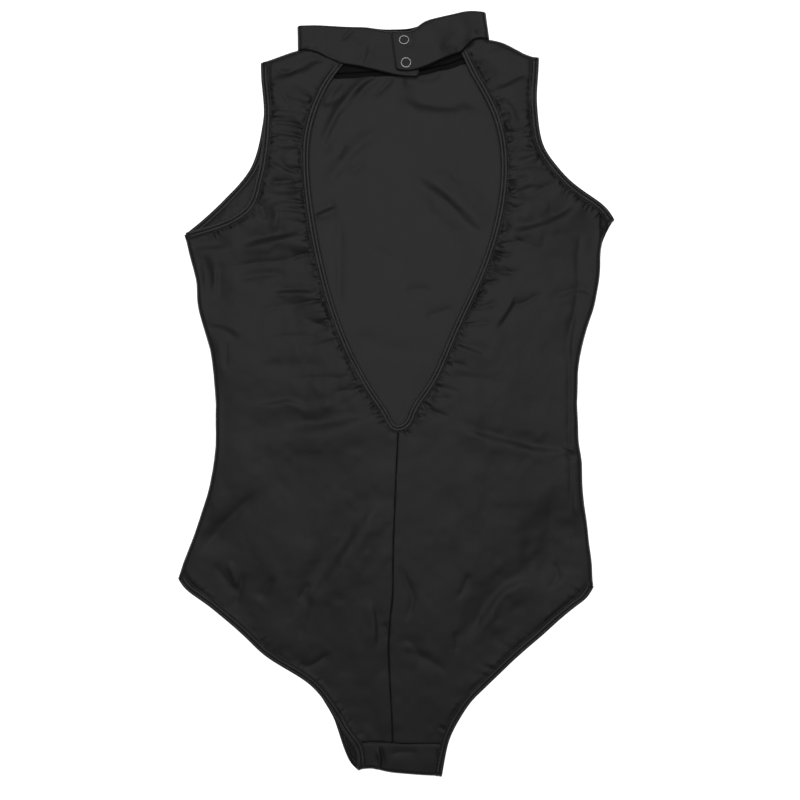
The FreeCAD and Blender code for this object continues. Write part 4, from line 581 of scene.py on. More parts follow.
def front_height(X, detail=True):
    z = ZM - (ZM - ZF) * cover(X)
    if detail:
        b = bound_distance(X, "FRONT")
        side = np.minimum(near(COARSE["SIDE_L"], X)[0], near(COARSE["SIDE_R"], X)[0])
        w = creases(X, FRONT_FOLDS)
        w += gathers(X, COARSE["ARM_FRONT_L"], -1, 8, 10, 0.5, 10.0, 70)
        w += gathers(X, COARSE["ARM_FRONT_R"], 1, 8, 10, 0.5, 10.0, 80)
        w += 0.5 * noise2(X[:, 0] / 52, X[:, 1] / 66, 17) + 0.1 * noise2(X[:, 0] / 16, X[:, 1] / 19, 18)
        z = z + w * smooth(0.5, 10, side) * (0.1 + 0.9 * smooth(3, 10, b))
        z -= 0.35 * smooth(8, 26, b)
        z = np.where(z < 1.0, 0.62 + 0.38 * np.exp((z - 1.0) / 0.38), z)
    return z


def bound_distance(X, layer):
    r = np.full(len(X), 1e9)
    keys = ["ARM_%s_L", "ARM_%s_R", "LEG_%s_L", "LEG_%s_R"]
    for k in keys:
        r = np.minimum(r, near(COARSE[k % layer], X)[0])
    if layer == "BACK":
        r = np.minimum(r, near(COARSE["OPENING"], X)[0])
    return r


# ------------------------------------------------------------------ meshes
def leg_gap(V):
    """At the crotch the upper edge of the left leg hole sits inward of the lower one."""
    up = np.clip((V[:, 2] - 3.0) / 3.5, 0, 1)
    V[:, 0] += 4.6 * up * up * (3 - 2 * up) * np.exp(-((V[:, 0] + 36) / 15) ** 2 - ((V[:, 1] + 318) / 17) ** 2)
    return V


def ease(V):
    """Small shifts that let the soft outer edge wander as laid cloth does."""
    if not EDGE_EASE:
        return leg_gap(V.copy())
    E = np.array(EDGE_EASE, float)
    out = V.copy()
    for i in range(0, len(V), 20000):
        X = V[i:i + 20000, :2]
        w = np.exp(-((X[:, None, 0] - E[None, :, 0]) ** 2 + (X[:, None, 1] - E[None, :, 1]) ** 2) / 64.0)
        out[i:i + 20000, :2] += (w @ E[:, 2:]) / (w.sum(1) + 0.35)[:, None]
    return leg_gap(out)


def add_mesh(name, V, F, mat, smooth_on=True):
    V = ease(np.asarray(V, float))
    me = bpy.data.meshes.new(name)
    me.from_pydata([tuple(v * MM) for v in V], [], [tuple(int(i) for i in f) for f in F])
    me.validate()
    me.polygons.foreach_set("use_smooth", [smooth_on] * len(me.polygons))
    me.materials.append(mat)
    me.update()
    o = bpy.data.objects.new(name, me)
    bpy.context.scene.collection.objects.link(o)
    return o


def vertex_normals(V, F):
    n = np.zeros_like(V)
    F = np.asarray(F)
    a, b, c = V[F[:, 0]], V[F[:, 1]], V[F[:, 2]]
    fn = np.cross(b - a, c - a)
    for k in range(F.shape[1]):
        np.add.at(n, F[:, k], fn)
    return n / np.maximum(np.linalg.norm(n, axis=1), 1e-12)[:, None]


def rim_edges(F):
    count = {}
    for f in F:
        for a, b in zip(f, list(f[1:]) + [f[0]]):
            k = (min(a, b), max(a, b))
            count[k] = None if k in count else (a, b)
    return [v for v in count.values() if v]


def thicken(V, F, t):
    n = vertex_normals(V, F)
    F = [list(map(int, f)) for f in F]
    k = len(V)
    out = np.r_[V + n * t / 2, V - n * t / 2]
    faces = F + [[i + k for i in reversed(f)] for f in F]
    for a, b in rim_edges(F):
        faces.append([b, a, a + k, b + k])
    return out, faces


def cap_loop(node, level):
    """The outline of a CAD node's flat face at one height, in order, in millimetres."""
    me = frame["nodes"][node].data
    co = np.empty(len(me.vertices) * 3); me.vertices.foreach_get("co", co)
    co = co.reshape(-1, 3) * 1000
    key, back = np.unique(np.round(co / 0.01).astype(int), axis=0, return_inverse=True)
    back = back.ravel()
    me.calc_loop_triangles()
    tri = np.empty(len(me.loop_triangles) * 3, int); me.loop_triangles.foreach_get("vertices", tri)
    tri = back[tri.reshape(-1, 3)]
    z = key[:, 2] * 0.01
    tri = tri[np.all(np.abs(z[tri] - level) < 0.03, axis=1)]
    nxt = {}
    for a, b in rim_edges(tri.tolist()):
        nxt[a] = b
    best = []
    while nxt:
        a = next(iter(nxt)); run = [a]
        while run[-1] in nxt:
            b = nxt.pop(run[-1])
            if b == run[0]:
                break
            run.append(b)
        if len(run) > len(best):
            best = run
    return key[best][:, :2] * 0.01


def even(loop, step):
    out = []
    for a, b in zip(loop, np.roll(loop, -1, axis=0)):
        d = np.hypot(*(b - a))
        if d < 1e-4:
            continue
        n = max(1, int(math.ceil(d / step)))
        for k in range(n):
            out.append(a + (b - a) * k / n)
    out = np.array(out)
    keep = [0]
    for i in range(1, len(out)):
        if np.hypot(*(out[i] - out[keep[-1]])) > step * 0.45:
            keep.append(i)
    return out[keep]


def inside(loop, X):
    c = np.zeros(len(X), bool)
    for (x0, y0), (x1, y1) in zip(loop, np.roll(loop, -1, axis=0)):
        if y0 == y1:
            continue
        m = ((y0 > X[:, 1]) != (y1 > X[:, 1]))
        c ^= m & (X[:, 0] < (x1 - x0) * (X[:, 1] - y0) / (y1 - y0) + x0)
    return c


def flat_mesh(loop, step, folds=(), fine=()):
    """An even triangle mesh inside an outline, finer across the folded edges."""
    loop = even(loop, step)
    lo, hi = loop.min(0), loop.max(0)
    ys = np.arange(lo[1], hi[1], step * 0.866)
    X = np.concatenate([np.c_[np.arange(lo[0] + (step / 2 if i % 2 else 0), hi[0], step), np.full(len(np.arange(lo[0] + (step / 2 if i % 2 else 0), hi[0], step)), y)] for i, y in enumerate(ys)])
    X = X[inside(loop, X)]
    X = X[near(np.r_[loop, loop[:1]], X)[0] > 0.55 * step]
    extra = []
    for key, side in fine:
        s = np.arange(0, L[key].length, 0.8)
        P, _, N = L[key].at(s)
        r = near(COARSE[key], X)
        X = X[~((r[1] * side > 5.2) & (r[1] * side < 15.5) & (r[0] < 30))]
        band = np.concatenate([P[(i % 2)::1] * 1 + N[(i % 2)::1] * side * d + (np.roll(P, -1, axis=0)[(i % 2)::1] - P[(i % 2)::1]) * (0.5 if i % 2 else 0) for i, d in enumerate(np.arange(5.6, 15.2, 0.8))])
        q = near(COARSE[key], band)[1] * side
        extra.append(band[q > 5.3])
    for key, side in folds:
        ln = L[key]
        r = near(COARSE[key], X)[0]
        X = X[r > 3.6]
        s = np.arange(0, ln.length, step * 0.9)
        P, _, N = ln.at(s)
        for d in (0.35, 1.0, 1.9, 3.0):
            extra.append(P + N * side * d)
    if extra:
        E = np.concatenate(extra)
        E = E[inside(loop, E)]
        E = E[near(np.r_[loop, loop[:1]], E)[0] > 0.25]
        cell = np.round(E / 0.42).astype(int)
        E = E[np.sort(np.unique(cell, axis=0, return_index=True)[1])]
        X = np.r_[X, E]
    n = len(loop)
    pts = [Vector(p) for p in np.r_[loop, X]]
    out = geometry.delaunay_2d_cdt(pts, [(i, (i + 1) % n) for i in range(n)], [], 1, 1e-4)
    V = np.array([tuple(v) for v in out[0]])
    F = [f for f in out[2] if len(f) == 3]
    return V, F


def tube_loft(rings, closed_ends=True):
    """Faces over equal rings of points: rings is (stations, points, 3)."""
    n, m = rings.shape[:2]
    V = rings.reshape(-1, 3)
    F = []
    for i in range(n - 1):
        for j in range(m):
            k = (j + 1) % m
            F.append([i * m + j, i * m + k, (i + 1) * m + k, (i + 1) * m + j])
    if closed_ends:
        F.append([j for j in reversed(range(m))])
        F.append([(n - 1) * m + j for j in range(m)])
    return V, F


def merge(parts):
    V, F, k = [], [], 0
    for v, f in parts:
        V.append(v); F += [[i + k for i in g] for g in f]; k += len(v)
    return np.concatenate(V), F


def capsules(P, D, N, length, radius, flat=0.7):
    """Small rounded stitches at points P, along D, standing out along N."""
    D = D / np.linalg.norm(D, axis=1)[:, None]
    N = N - (N * D).sum(1)[:, None] * D
    N = N / np.linalg.norm(N, axis=1)[:, None]
    B = np.cross(D, N)
    prof = [(-0.5, 0.0), (-0.42, 0.75), (0.0, 1.0), (0.42, 0.75), (0.5, 0.0)]
    ring = 6
    V, F = [], []
    per = 2 + ring * 3
    for q in range(len(P)):
        base = len(V)
        V.append(P[q] + D[q] * length * -0.5)
        for t, r in prof[1:-1]:
            for j in range(ring):
                a = 2 * math.pi * j / ring
                V.append(P[q] + D[q] * length * t + (B[q] * math.cos(a) + N[q] * flat * math.sin(a)) * radius * r)
        V.append(P[q] + D[q] * length * 0.5)
        for j in range(ring):
            k = (j + 1) % ring
            F.append([base, base + 1 + k, base + 1 + j])
            for m in range(2):
                F.append([base + 1 + m * ring + j, base + 1 + m * ring + k, base + 1 + (m + 1) * ring + k, base + 1 + (m + 1) * ring + j])
            F.append([base + per - 1, base + 1 + 2 * ring + j, base + 1 + 2 * ring + k])
    return np.array(V), F


# ------------------------------------------------------------------ materials
def knit(name, base, sheen=0.25, rough=0.62, spec=0.22, bump=0.25, wale=0.00055, tint=0.12):
    m = bpy.data.materials.new(name)
    m.use_nodes = True
    nt = m.node_tree; nd = nt.nodes; ln = nt.links
    b = nd["Principled BSDF"]
    b.inputs["Roughness"].default_value = rough
    b.inputs["Specular IOR Level"].default_value = spec
    b.inputs["Sheen Weight"].default_value = sheen
    b.inputs["Sheen Roughness"].default_value = 0.45
    b.inputs["Sheen Tint"].default_value = (0.8, 0.8, 0.85, 1)
    tc = nd.new("ShaderNodeTexCoord")
    n1 = nd.new("ShaderNodeTexNoise"); n1.inputs["Scale"].default_value = 14; n1.inputs["Detail"].default_value = 4
    n2 = nd.new("ShaderNodeTexNoise"); n2.inputs["Scale"].default_value = 900; n2.inputs["Detail"].default_value = 2
    mix = nd.new("ShaderNodeMix"); mix.data_type = "RGBA"
    lo = [c * (1 - tint) for c in base]; hi = [c * (1 + tint) for c in base]
    mix.inputs["A"].default_value = (*lo, 1); mix.inputs["B"].default_value = (*hi, 1)
    ln.new(tc.outputs["Object"], n1.inputs["Vector"]); ln.new(tc.outputs["Object"], n2.inputs["Vector"])
    add = nd.new("ShaderNodeMath"); add.operation = "ADD"
    ln.new(n1.outputs["Fac"], add.inputs[0]); ln.new(n2.outputs["Fac"], add.inputs[1])
    half = nd.new("ShaderNodeMath"); half.operation = "MULTIPLY"; half.inputs[1].default_value = 0.5
    ln.new(add.outputs[0], half.inputs[0]); ln.new(half.outputs[0], mix.inputs["Factor"])
    ln.new(mix.outputs["Result"], b.inputs["Base Color"])
    wx = nd.new("ShaderNodeTexWave"); wx.wave_type = "BANDS"; wx.bands_direction = "X"
    wx.inputs["Scale"].default_value = 2 * math.pi / (20 * wale); wx.inputs["Distortion"].default_value = 0.6; wx.inputs["Detail"].default_value = 1
    wy = nd.new("ShaderNodeTexWave"); wy.wave_type = "BANDS"; wy.bands_direction = "Y"
    wy.inputs["Scale"].default_value = 2 * math.pi / (20 * wale * 1.4); wy.inputs["Distortion"].default_value = 1.0; wy.inputs["Detail"].default_value = 1
    ln.new(tc.outputs["Object"], wx.inputs["Vector"]); ln.new(tc.outputs["Object"], wy.inputs["Vector"])
    s1 = nd.new("ShaderNodeMath"); s1.operation = "MULTIPLY"
    ln.new(wx.outputs["Fac"], s1.inputs[0]); ln.new(wy.outputs["Fac"], s1.inputs[1])
    s2 = nd.new("ShaderNodeMath"); s2.operation = "ADD"
    ln.new(s1.outputs[0], s2.inputs[0]); ln.new(n2.outputs["Fac"], s2.inputs[1])
    bp = nd.new("ShaderNodeBump"); bp.inputs["Strength"].default_value = bump; bp.inputs["Distance"].default_value = 0.00012
    ln.new(s2.outputs[0], bp.inputs["Height"]); ln.new(bp.outputs["Normal"], b.inputs["Normal"])
    return m


def metal(name, base, rough=0.32):
    m = bpy.data.materials.new(name)
    m.use_nodes = True
    nt = m.node_tree; nd = nt.nodes; ln = nt.links
    b = nd["Principled BSDF"]
    b.inputs["Metallic"].default_value = 1.0
    tc = nd.new("ShaderNodeTexCoord")
    n = nd.new("ShaderNodeTexNoise"); n.inputs["Scale"].default_value = 1400; n.inputs["Detail"].default_value = 3
    ln.new(tc.outputs["Object"], n.inputs["Vector"])
    r = nd.new("ShaderNodeMapRange"); r.inputs["To Min"].default_value = rough - 0.08; r.inputs["To Max"].default_value = rough + 0.12
    ln.new(n.outputs["Fac"], r.inputs["Value"]); ln.new(r.outputs["Result"], b.inputs["Roughness"])
    mix = nd.new("ShaderNodeMix"); mix.data_type = "RGBA"
    mix.inputs["A"].default_value = (*[c * 0.8 for c in base], 1); mix.inputs["B"].default_value = (*base, 1)
    ln.new(n.outputs["Fac"], mix.inputs["Factor"]); ln.new(mix.outputs["Result"], b.inputs["Base Color"])
    bp = nd.new("ShaderNodeBump"); bp.inputs["Strength"].default_value = 0.1; bp.inputs["Distance"].default_value = 0.00005
    ln.new(n.outputs["Fac"], bp.inputs["Height"]); ln.new(bp.outputs["Normal"], b.inputs["Normal"])
    return m


BLACK = (0.0088, 0.0088, 0.0090)
M_BODY = knit("body_knit_cloth", BLACK, sheen=0.02, spec=0.27, rough=0.53)
M_FRONT = knit("front_knit_cloth", (0.0105, 0.0105, 0.0107), sheen=0.02, spec=0.28, rough=0.53)
M_BIND = knit("binding_cloth", (0.0108, 0.0108, 0.011), sheen=0.03, spec=0.35, rough=0.48, bump=0.35)
M_COLLAR = knit("collar_cloth", (0.0092, 0.0092, 0.0094), sheen=0.02, spec=0.28, rough=0.53)
M_THREAD = knit("thread", (0.012, 0.012, 0.0122), sheen=0.05, rough=0.5, spec=0.35, bump=0.5, wale=0.0003)
# painted shade: a darker, duller copy of the cloth for the collar's up-facing inner face and the front neck seam,
# standing in for the shade under the closed collar
M_INNER = knit("collar_inner_painted_shade_cloth", (0.0048, 0.0048, 0.005), sheen=0.0, spec=0.11, rough=0.65)
M_LINING = knit("lining_cloth", (0.010, 0.010, 0.010), sheen=0.5)
M_METAL = metal("snap_metal", (0.30, 0.30, 0.31))
M_RING = metal("snap_ring_metal", (0.30, 0.30, 0.31), 0.35)

WORLD = 0.10
LIGHTS = [("overhead", (0.0, 0.28, 1.9), (1.0, 1.0), 15.5), ("key", (-0.2, 1.5, 1.1), (1.2, 0.9), 2.0)]
FLOOR_Z = 0.0
ARMPIT = [(181.0, 168.0), (182.0, 158.0), (182.8, 147.0), (183.6, 132.0)]


class Field:
    """Points of one sheet, with their distances to the outline curves worked out once."""

    def __init__(self, X):
        self.X = X
        self.c = {}

    def to(self, key):
        if key not in self.c:
            P = COARSE[key]
            lo, hi = P.min(0) - 46, P.max(0) + 46
            m = np.all((self.X > lo) & (self.X < hi), axis=1)
            r = np.full(len(self.X), 1e3); sd = np.full(len(self.X), 1e3); s = np.zeros(len(self.X)); run = 1.0
            if m.any():
                r[m], sd[m], s[m], run = near(P, self.X[m])
            self.c[key] = (r, sd, s, run)
        return self.c[key]


def bound_distance(Q, layer):
    r = np.full(len(Q.X), 1e3)
    for k in ("ARM_%s_L", "ARM_%s_R", "LEG_%s_L", "LEG_%s_R"):
        r = np.minimum(r, Q.to(k % layer)[0])
    if layer == "BACK":
        r = np.minimum(r, Q.to("OPENING")[0])
    return r


def cover(Q):
    """1 in the open cloth, falling to 0 round the side and shoulder folds and at the crotch."""
    g = np.ones(len(Q.X))
    for key, R in (("SIDE_L", 3.8), ("SIDE_R", 3.8), ("SHOULDER_L", 3.2), ("SHOULDER_R", 3.2), ("GUSSET_END", 4.0)):
        g *= rim(Q.to(key)[0], R)
    return g


def billow(n):
    """Rounded ridges with narrow valleys between them."""
    return 1.7 * np.sqrt(n * n + 0.012) - 0.62


def gathers(Q, key, side, reach, amp, wave, seed, lean=0.0, s0=0, s1=1e9, inner=6.2):
    """Ruffles that run away from a bound edge, strongest beside it."""
    r, sd, s, run = Q.to(key)
    d = sd * side
    on = (d > 0) & (r < 45)
    z = np.zeros(len(Q.X))
    d, s = d[on], s[on]
    s2 = s + lean * d + 2.0 * noise2(s / 30, d / 22, seed + 3)
    a = billow(noise2(s2 / wave, d / (reach * 1.7), seed))
    b = billow(noise2(s2 / (wave * 0.5), d / (reach * 0.9), seed + 1))
    env = smooth(inner, inner + 5, d) * np.exp(-np.maximum(d - inner - 4, 0) / reach)
    env2 = smooth(inner - 0.2, inner + 1.6, d) * np.exp(-np.maximum(d - inner, 0) / (reach * 0.36))
    long = smooth(s0, s0 + 18, s) * smooth(0, 18, np.minimum(s1, run) - s)
    vary = 0.35 + 0.9 * (0.5 + 0.5 * noise2(s / 38, 0 * s, seed + 2))
    z[on] = amp * (a * env + 0.55 * b * env2) * long * vary
    return z


def ticks(Q, key, side, spacing, length, depth, seed, s0=0, s1=1e9, inner=6.3, width=0.85):
    """Short sharp puckers where the elastic draws the cloth in beside a binding."""
    r, sd, s, run = Q.to(key)
    d = sd * side
    on = np.where((d > inner - 1) & (d < inner + length * 2.4 + 3) & (r < 45))[0]
    z = np.zeros(len(Q.X))
    if not len(on):
        return z
    on = on[np.argsort(s[on])]
    d, s = d[on], s[on]
    out = np.zeros(len(on))
    g = np.random.default_rng(seed)
    q = s0 + 2.0
    s1 = min(s1, run - 3)
    while q < s1:
        ln_, dp, wd = length * g.uniform(0.45, 1.9), depth * g.uniform(0.35, 1.25), width * g.uniform(0.75, 1.5)
        lean = g.normal(0, 0.22)
        a, b = np.searchsorted(s, [q - 9, q + 9])
        x = s[a:b] - q - lean * (d[a:b] - inner)
        env = smooth(inner - 0.6, inner + 0.7, d[a:b]) * (1 - smooth(inner + ln_ * 0.25, inner + ln_, d[a:b]))
        out[a:b] += dp * env * (-np.exp(-(np.sqrt(x * x + 0.06) - 0.245) / wd) + 0.42 * np.exp(-((x - 2.1 * wd) / (1.4 * wd)) ** 2) + 0.30 * np.exp(-((x + 2.1 * wd) / (1.4 * wd)) ** 2))
        q += spacing * g.uniform(0.45, 1.6)
    z[on] = out
    return z


def back_height(Q):
    X = Q.X
    z = ZM + (ZB - ZM) * cover(Q)
    fade = smooth(0.5, 9, np.minimum(Q.to("SIDE_L")[0], Q.to("SIDE_R")[0]))
    hems = np.minimum.reduce([Q.to(k)[0] for k in ("SHOULDER_L", "SHOULDER_R", "NECK_L", "NECK_R", "GUSSET_END")])
    b = bound_distance(Q, "BACK")
    w = creases(X, BACK_FOLDS) * smooth(4.5, 11, b) * FOLD_GAIN
    w += gathers(Q, "OPENING", 1, 19, 1.45, 9.0, 20, 0.10, 24, 270)
    w += gathers(Q, "OPENING", 1, 16, 0.7, 10.0, 21, 0.10, 255, 510)
    w += gathers(Q, "OPENING", 1, 19, 1.45, 9.0, 22, 0.10, 495, 740)
    w += gathers(Q, "ARM_BACK_L", -1, 13, 1.2, 8.5, 30, 0.1, 30, 150)
    w += gathers(Q, "ARM_BACK_R", 1, 13, 1.1, 8.5, 40, -0.1, 30, 150)
    w += gathers(Q, "LEG_BACK_L", -1, 9, 0.5, 13.0, 50, 0.2)
    w += gathers(Q, "LEG_BACK_R", 1, 9, 0.5, 13.0, 60, -0.2)
    w += ticks(Q, "OPENING", 1, 5.0, 6.0, 0.75, 301, 28, 735)
    w += ticks(Q, "ARM_BACK_L", -1, 5.2, 5.0, 0.8, 302, 18, 170)
    w += ticks(Q, "ARM_BACK_R", 1, 5.2, 5.0, 0.8, 303, 18, 160)
    w += ticks(Q, "LEG_BACK_L", -1, 16.0, 6.0, 0.7, 304, 10, 1e9, 6.3, 1.1)
    w += ticks(Q, "LEG_BACK_R", 1, 16.0, 6.0, 0.7, 305, 10, 1e9, 6.3, 1.1)
    w += (0.9 * noise2(X[:, 0] / 46, X[:, 1] / 60, 7) + 0.42 * noise2(X[:, 0] / 19, X[:, 1] / 24, 8) + 0.12 * noise2(X[:, 0] / 7, X[:, 1] / 8, 9)) * smooth(4.5, 11, b)
    w -= 0.3 * np.exp(-((b - 7.2) / 1.3) ** 2)
    z = z + w * (0.25 + 0.75 * fade) * smooth(0.5, 5, hems)
    r = Q.to("CB_SEAM")[0]
    y = X[:, 1]
    slack = 0.55 + 0.45 * np.exp(-((y + 222) / 34) ** 2) + 0.2 * noise2(y / 13, 0 * y, 44)
    z -= slack * (0.5 * np.exp(-(r / 0.5) ** 2) + 0.2 * np.exp(-(r / 2.4) ** 2))
    z -= 0.42 * np.exp(-(Q.to("CROTCH_B")[0] / 0.6) ** 2)
    for k in ("NECK_L", "NECK_R"):
        r = Q.to(k)[0]
        z += 0.75 * np.exp(-(r / 6.0) ** 2) - 0.3 * np.exp(-(r / 0.6) ** 2)
    r, d, sa, run = near(spline(ARMPIT, 2.0), X)
    out = -d
    on = (out > 0) & (out < 20) & (X[:, 0] > 150)
    z = np.where(on, np.maximum(z - smooth(0, 0.25, sa / run) * smooth(0, 0.2, 1 - sa / run) * (0.9 * smooth(0, 0.9, out) + 0.26 * out), np.minimum(z, 4.4)), z)
    return z


def front_height(Q):
    X = Q.X
    z = ZM - (ZM - ZF) * cover(Q)
    b = bound_distance(Q, "FRONT")
    side = np.minimum(Q.to("SIDE_L")[0], Q.to("SIDE_R")[0])
    w = creases(X, FRONT_FOLDS) * 1.25
    w += ticks(Q, "ARM_FRONT_L", -1, 7.0, 5.0, 0.5, 312, 18, 190)
    w += ticks(Q, "ARM_FRONT_R", 1, 7.0, 5.0, 0.5, 313, 18, 180)
    w += gathers(Q, "ARM_FRONT_L", -1, 10, 0.5, 10.0, 70)
    w += gathers(Q, "ARM_FRONT_R", 1, 10, 0.5, 10.0, 80)
    w += gathers(Q, "LEG_FRONT_L", -1, 9, 0.4, 12.0, 90)
    w += gathers(Q, "LEG_FRONT_R", 1, 9, 0.4, 12.0, 100)
    w += (0.6 * noise2(X[:, 0] / 52, X[:, 1] / 66, 17) + 0.15 * noise2(X[:, 0] / 16, X[:, 1] / 19, 18)) * smooth(4.5, 11, b)
    hems = np.minimum.reduce([Q.to(k)[0] for k in ("SHOULDER_L", "SHOULDER_R", "NECK_F", "GUSSET_END")])
    z = z + (w + 0.5) * smooth(0.5, 10, side) * smooth(0.5, 5, hems) * smooth(4, 11, b)
    r = Q.to("CROTCH_F")[0]
    z += 0.6 * np.exp(-(r / 0.9) ** 2)
    return np.where(z < 1.0, 0.55 + 0.45 * np.exp((z - 1.0) / 0.45), z)


FOLD_GAIN = 1.05


NECK_RISE = [(-75, 0), (-64, 0.5), (-55.8, 1.8), (-46, 4.0), (-32, 5.2), (-12, 5.6), (3.6, 5.4), (18, 4.8), (37.8, 6.6), (58.5, 5.2), (66, 1.6), (71, 0)]
NECK_POINTS = L["NECK_F"].at(np.linspace(0, L["NECK_F"].length, 240))[0]
NECK_POINTS = NECK_POINTS[np.argsort(NECK_POINTS[:, 0])]


def neck_lift(V):
    """The front neckline rides up under the closed collar."""
    V = V.copy()
    e = np.array(NECK_RISE, float)
    rise = np.interp(V[:, 0], e[:, 0], e[:, 1])
    line = np.interp(V[:, 0], NECK_POINTS[:, 0], NECK_POINTS[:, 1])
    y = V[:, 1]
    V[:, 1] += rise * np.where(y < line, smooth(0, 1, (y - line + 45) / 43), 1 - smooth(0, 1, (y - line - 4) / 34))
    return V


def sheet_piece(name, node, level, height, folds, mat, slot_name, flat, area, step, extra_nodes=(), rests=(), fine=()):
    V2, F = flat_mesh(cap_loop(node, level), step, folds, fine)
    F2 = F
    z = height(Field(V2))
    V, F = thicken(np.c_[V2, z], F, 0.7)
    if name == "front_panel_cloth":
        V = neck_lift(V)
    o = add_mesh(name, V, F, mat)
    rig.ride(o, "leotard")
    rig.replaces(o, node, *extra_nodes)
    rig.slot(o, slot_name)
    a, b, c = (V2[[f[k] for f in F2]] for k in range(3))
    cut = float(np.abs((b[:, 0] - a[:, 0]) * (c[:, 1] - a[:, 1]) - (b[:, 1] - a[:, 1]) * (c[:, 0] - a[:, 0])).sum() / 2) * 1.02e-6
    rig.sheet(o, flat=flat, held="laid", rests_on=list(rests), area=cut if area is None else area)
    return o


back_l = sheet_piece("left_back_panel_cloth", "left_back_panel", 8.65, back_height, [("SIDE_L", -1), ("SHOULDER_L", 1), ("CB_SEAM", 1)], M_BODY, "body_knit", (0.206, 0.625), None, 1.6, fine=[("OPENING", 1), ("ARM_BACK_L", -1)])
back_r = sheet_piece("right_back_panel_cloth", "right_back_panel", 8.65, back_height, [("SIDE_R", 1), ("SHOULDER_R", -1), ("CB_SEAM", -1)], M_BODY, "body_knit", (0.206, 0.632), None, 1.6, fine=[("OPENING", 1), ("ARM_BACK_R", 1)])
front = sheet_piece("front_panel_cloth", "front_panel", 0.5, front_height, [("SIDE_L", -1), ("SIDE_R", 1), ("SHOULDER_L", 1), ("SHOULDER_R", -1)], M_FRONT, "body_knit", (0.392, 0.632), None, 1.9)


# ------------------------------------------------------------------ crotch gusset, one piece that folds under
def stretch(key, side, off, s0, s1, n):
    s = np.linspace(s0, s1, n)
    P, _, N = L[key].at(s)
    return P + N * side * off


def s_near(key, p):
    return float(near(L[key].P, np.array([p], float))[2][0])


def coons(c0, c1, d0, d1):
    """A patch between c0 and c1 (across) and d0 and d1 (along)."""
    nu, nv = len(c0), len(d0)
    u = np.linspace(0, 1, nu)[None, :, None]; v = np.linspace(0, 1, nv)[:, None, None]
    return ((1 - v) * c0[None] + v * c1[None] + (1 - u) * d0[:, None] + u * d1[:, None]
            - ((1 - u) * (1 - v) * c0[0] + u * (1 - v) * c0[-1] + (1 - u) * v * c1[0] + u * v * c1[-1]))


def gusset_sheet(off, inset, end, zb, zf, nu, nv, bow):
    """Back half from the back crotch seam down to the fold, then the front half up to the front seam."""
    lb, rb, lf, rf = L["LEG_BACK_L"], L["LEG_BACK_R"], L["LEG_FRONT_L"], L["LEG_FRONT_R"]
    sb = (s_near("LEG_BACK_L", T["CROTCH_B"][0]) + inset, s_near("LEG_BACK_R", T["CROTCH_B"][-1]) + inset)
    sf = (s_near("LEG_FRONT_L", T["CROTCH_F"][0]) + inset, s_near("LEG_FRONT_R", T["CROTCH_F"][-1]) + inset)
    dl = stretch("LEG_BACK_L", -1, off, sb[0], lb.length - end, nv); dr = stretch("LEG_BACK_R", 1, off, sb[1], rb.length - end, nv)
    el = stretch("LEG_FRONT_L", -1, off, sf[0], lf.length - end, nv); er = stretch("LEG_FRONT_R", 1, off, sf[1], rf.length - end, nv)
    k = np.linspace(0, 1, nu)[:, None]

    def across(key, a, b, drop):
        P = L[key].at(np.linspace(off, L[key].length - off, nu))[0]
        P = P + np.array([0, -drop])
        return P + (a - P[0]) * (1 - k) + (b - P[-1]) * k
    gb = across("GUSSET_END", dl[-1], dr[-1], 0.0); gf = across("GUSSET_END", el[-1], er[-1], 0.0)
    B = coons(across("CROTCH_B", dl[0], dr[0], inset), gb, dl, dr)
    Fr = coons(across("CROTCH_F", el[0], er[0], inset), gf, el, er)
    rows, zz = [], []
    for j in range(nv):
        rows.append(B[j]); zz.append(zb(B[j]))
    m = 9
    z0, z1 = zz[-1], zf(Fr[-1])
    for j in range(1, m):
        a = math.pi * j / m
        t = (1 - math.cos(a)) / 2
        P = B[-1] * (1 - t) + Fr[-1] * t
        rows.append(P + np.array([0, -1.0]) * bow * math.sin(a))
        zz.append(z0 * (1 + math.cos(a)) / 2 + z1 * (1 - math.cos(a)) / 2)
    for j in range(nv - 1, -1, -1):
        rows.append(Fr[j]); zz.append(zf(Fr[j]))
    R = np.array(rows); Z = np.array(zz)
    return np.concatenate([R, Z[..., None]], axis=2)


def grid_faces(n, m):
    return [[i * m + j, (i + 1) * m + j, (i + 1) * m + j + 1, i * m + j + 1] for i in range(n - 1) for j in range(m - 1)]


GUSSET_FOLDS = [([(-18.0, -315.5), (-14.5, -324.5), (-13.7, -330.0), (-17.5, -335.5), (-24.5, -337.5)], 2.1, 1.1, "f"),
                ([(-8.0, -324.0), (6.0, -321.5), (22.0, -322.5)], 0.5, 3.0, "v"),
                ([(36.0, -317.0), (36.8, -327.0), (37.0, -337.0)], 0.7, 0.9, "v")]


def gusset_z(base, amp, seed, sign):
    def f(P):
        Q = Field(P)
        r = Q.to("CROTCH_B")[0] if sign > 0 else Q.to("CROTCH_F")[0]
        z = base + amp * noise2(P[:, 0] / 14, P[:, 1] / 11, seed) - sign * 0.7 * np.exp(-(r / 0.6) ** 2) - sign * 0.12 * np.exp(-(r / 2.6) ** 2)
        if sign > 0 and base > 8:
            z = z + creases(P, GUSSET_FOLDS)
        return z
    return f


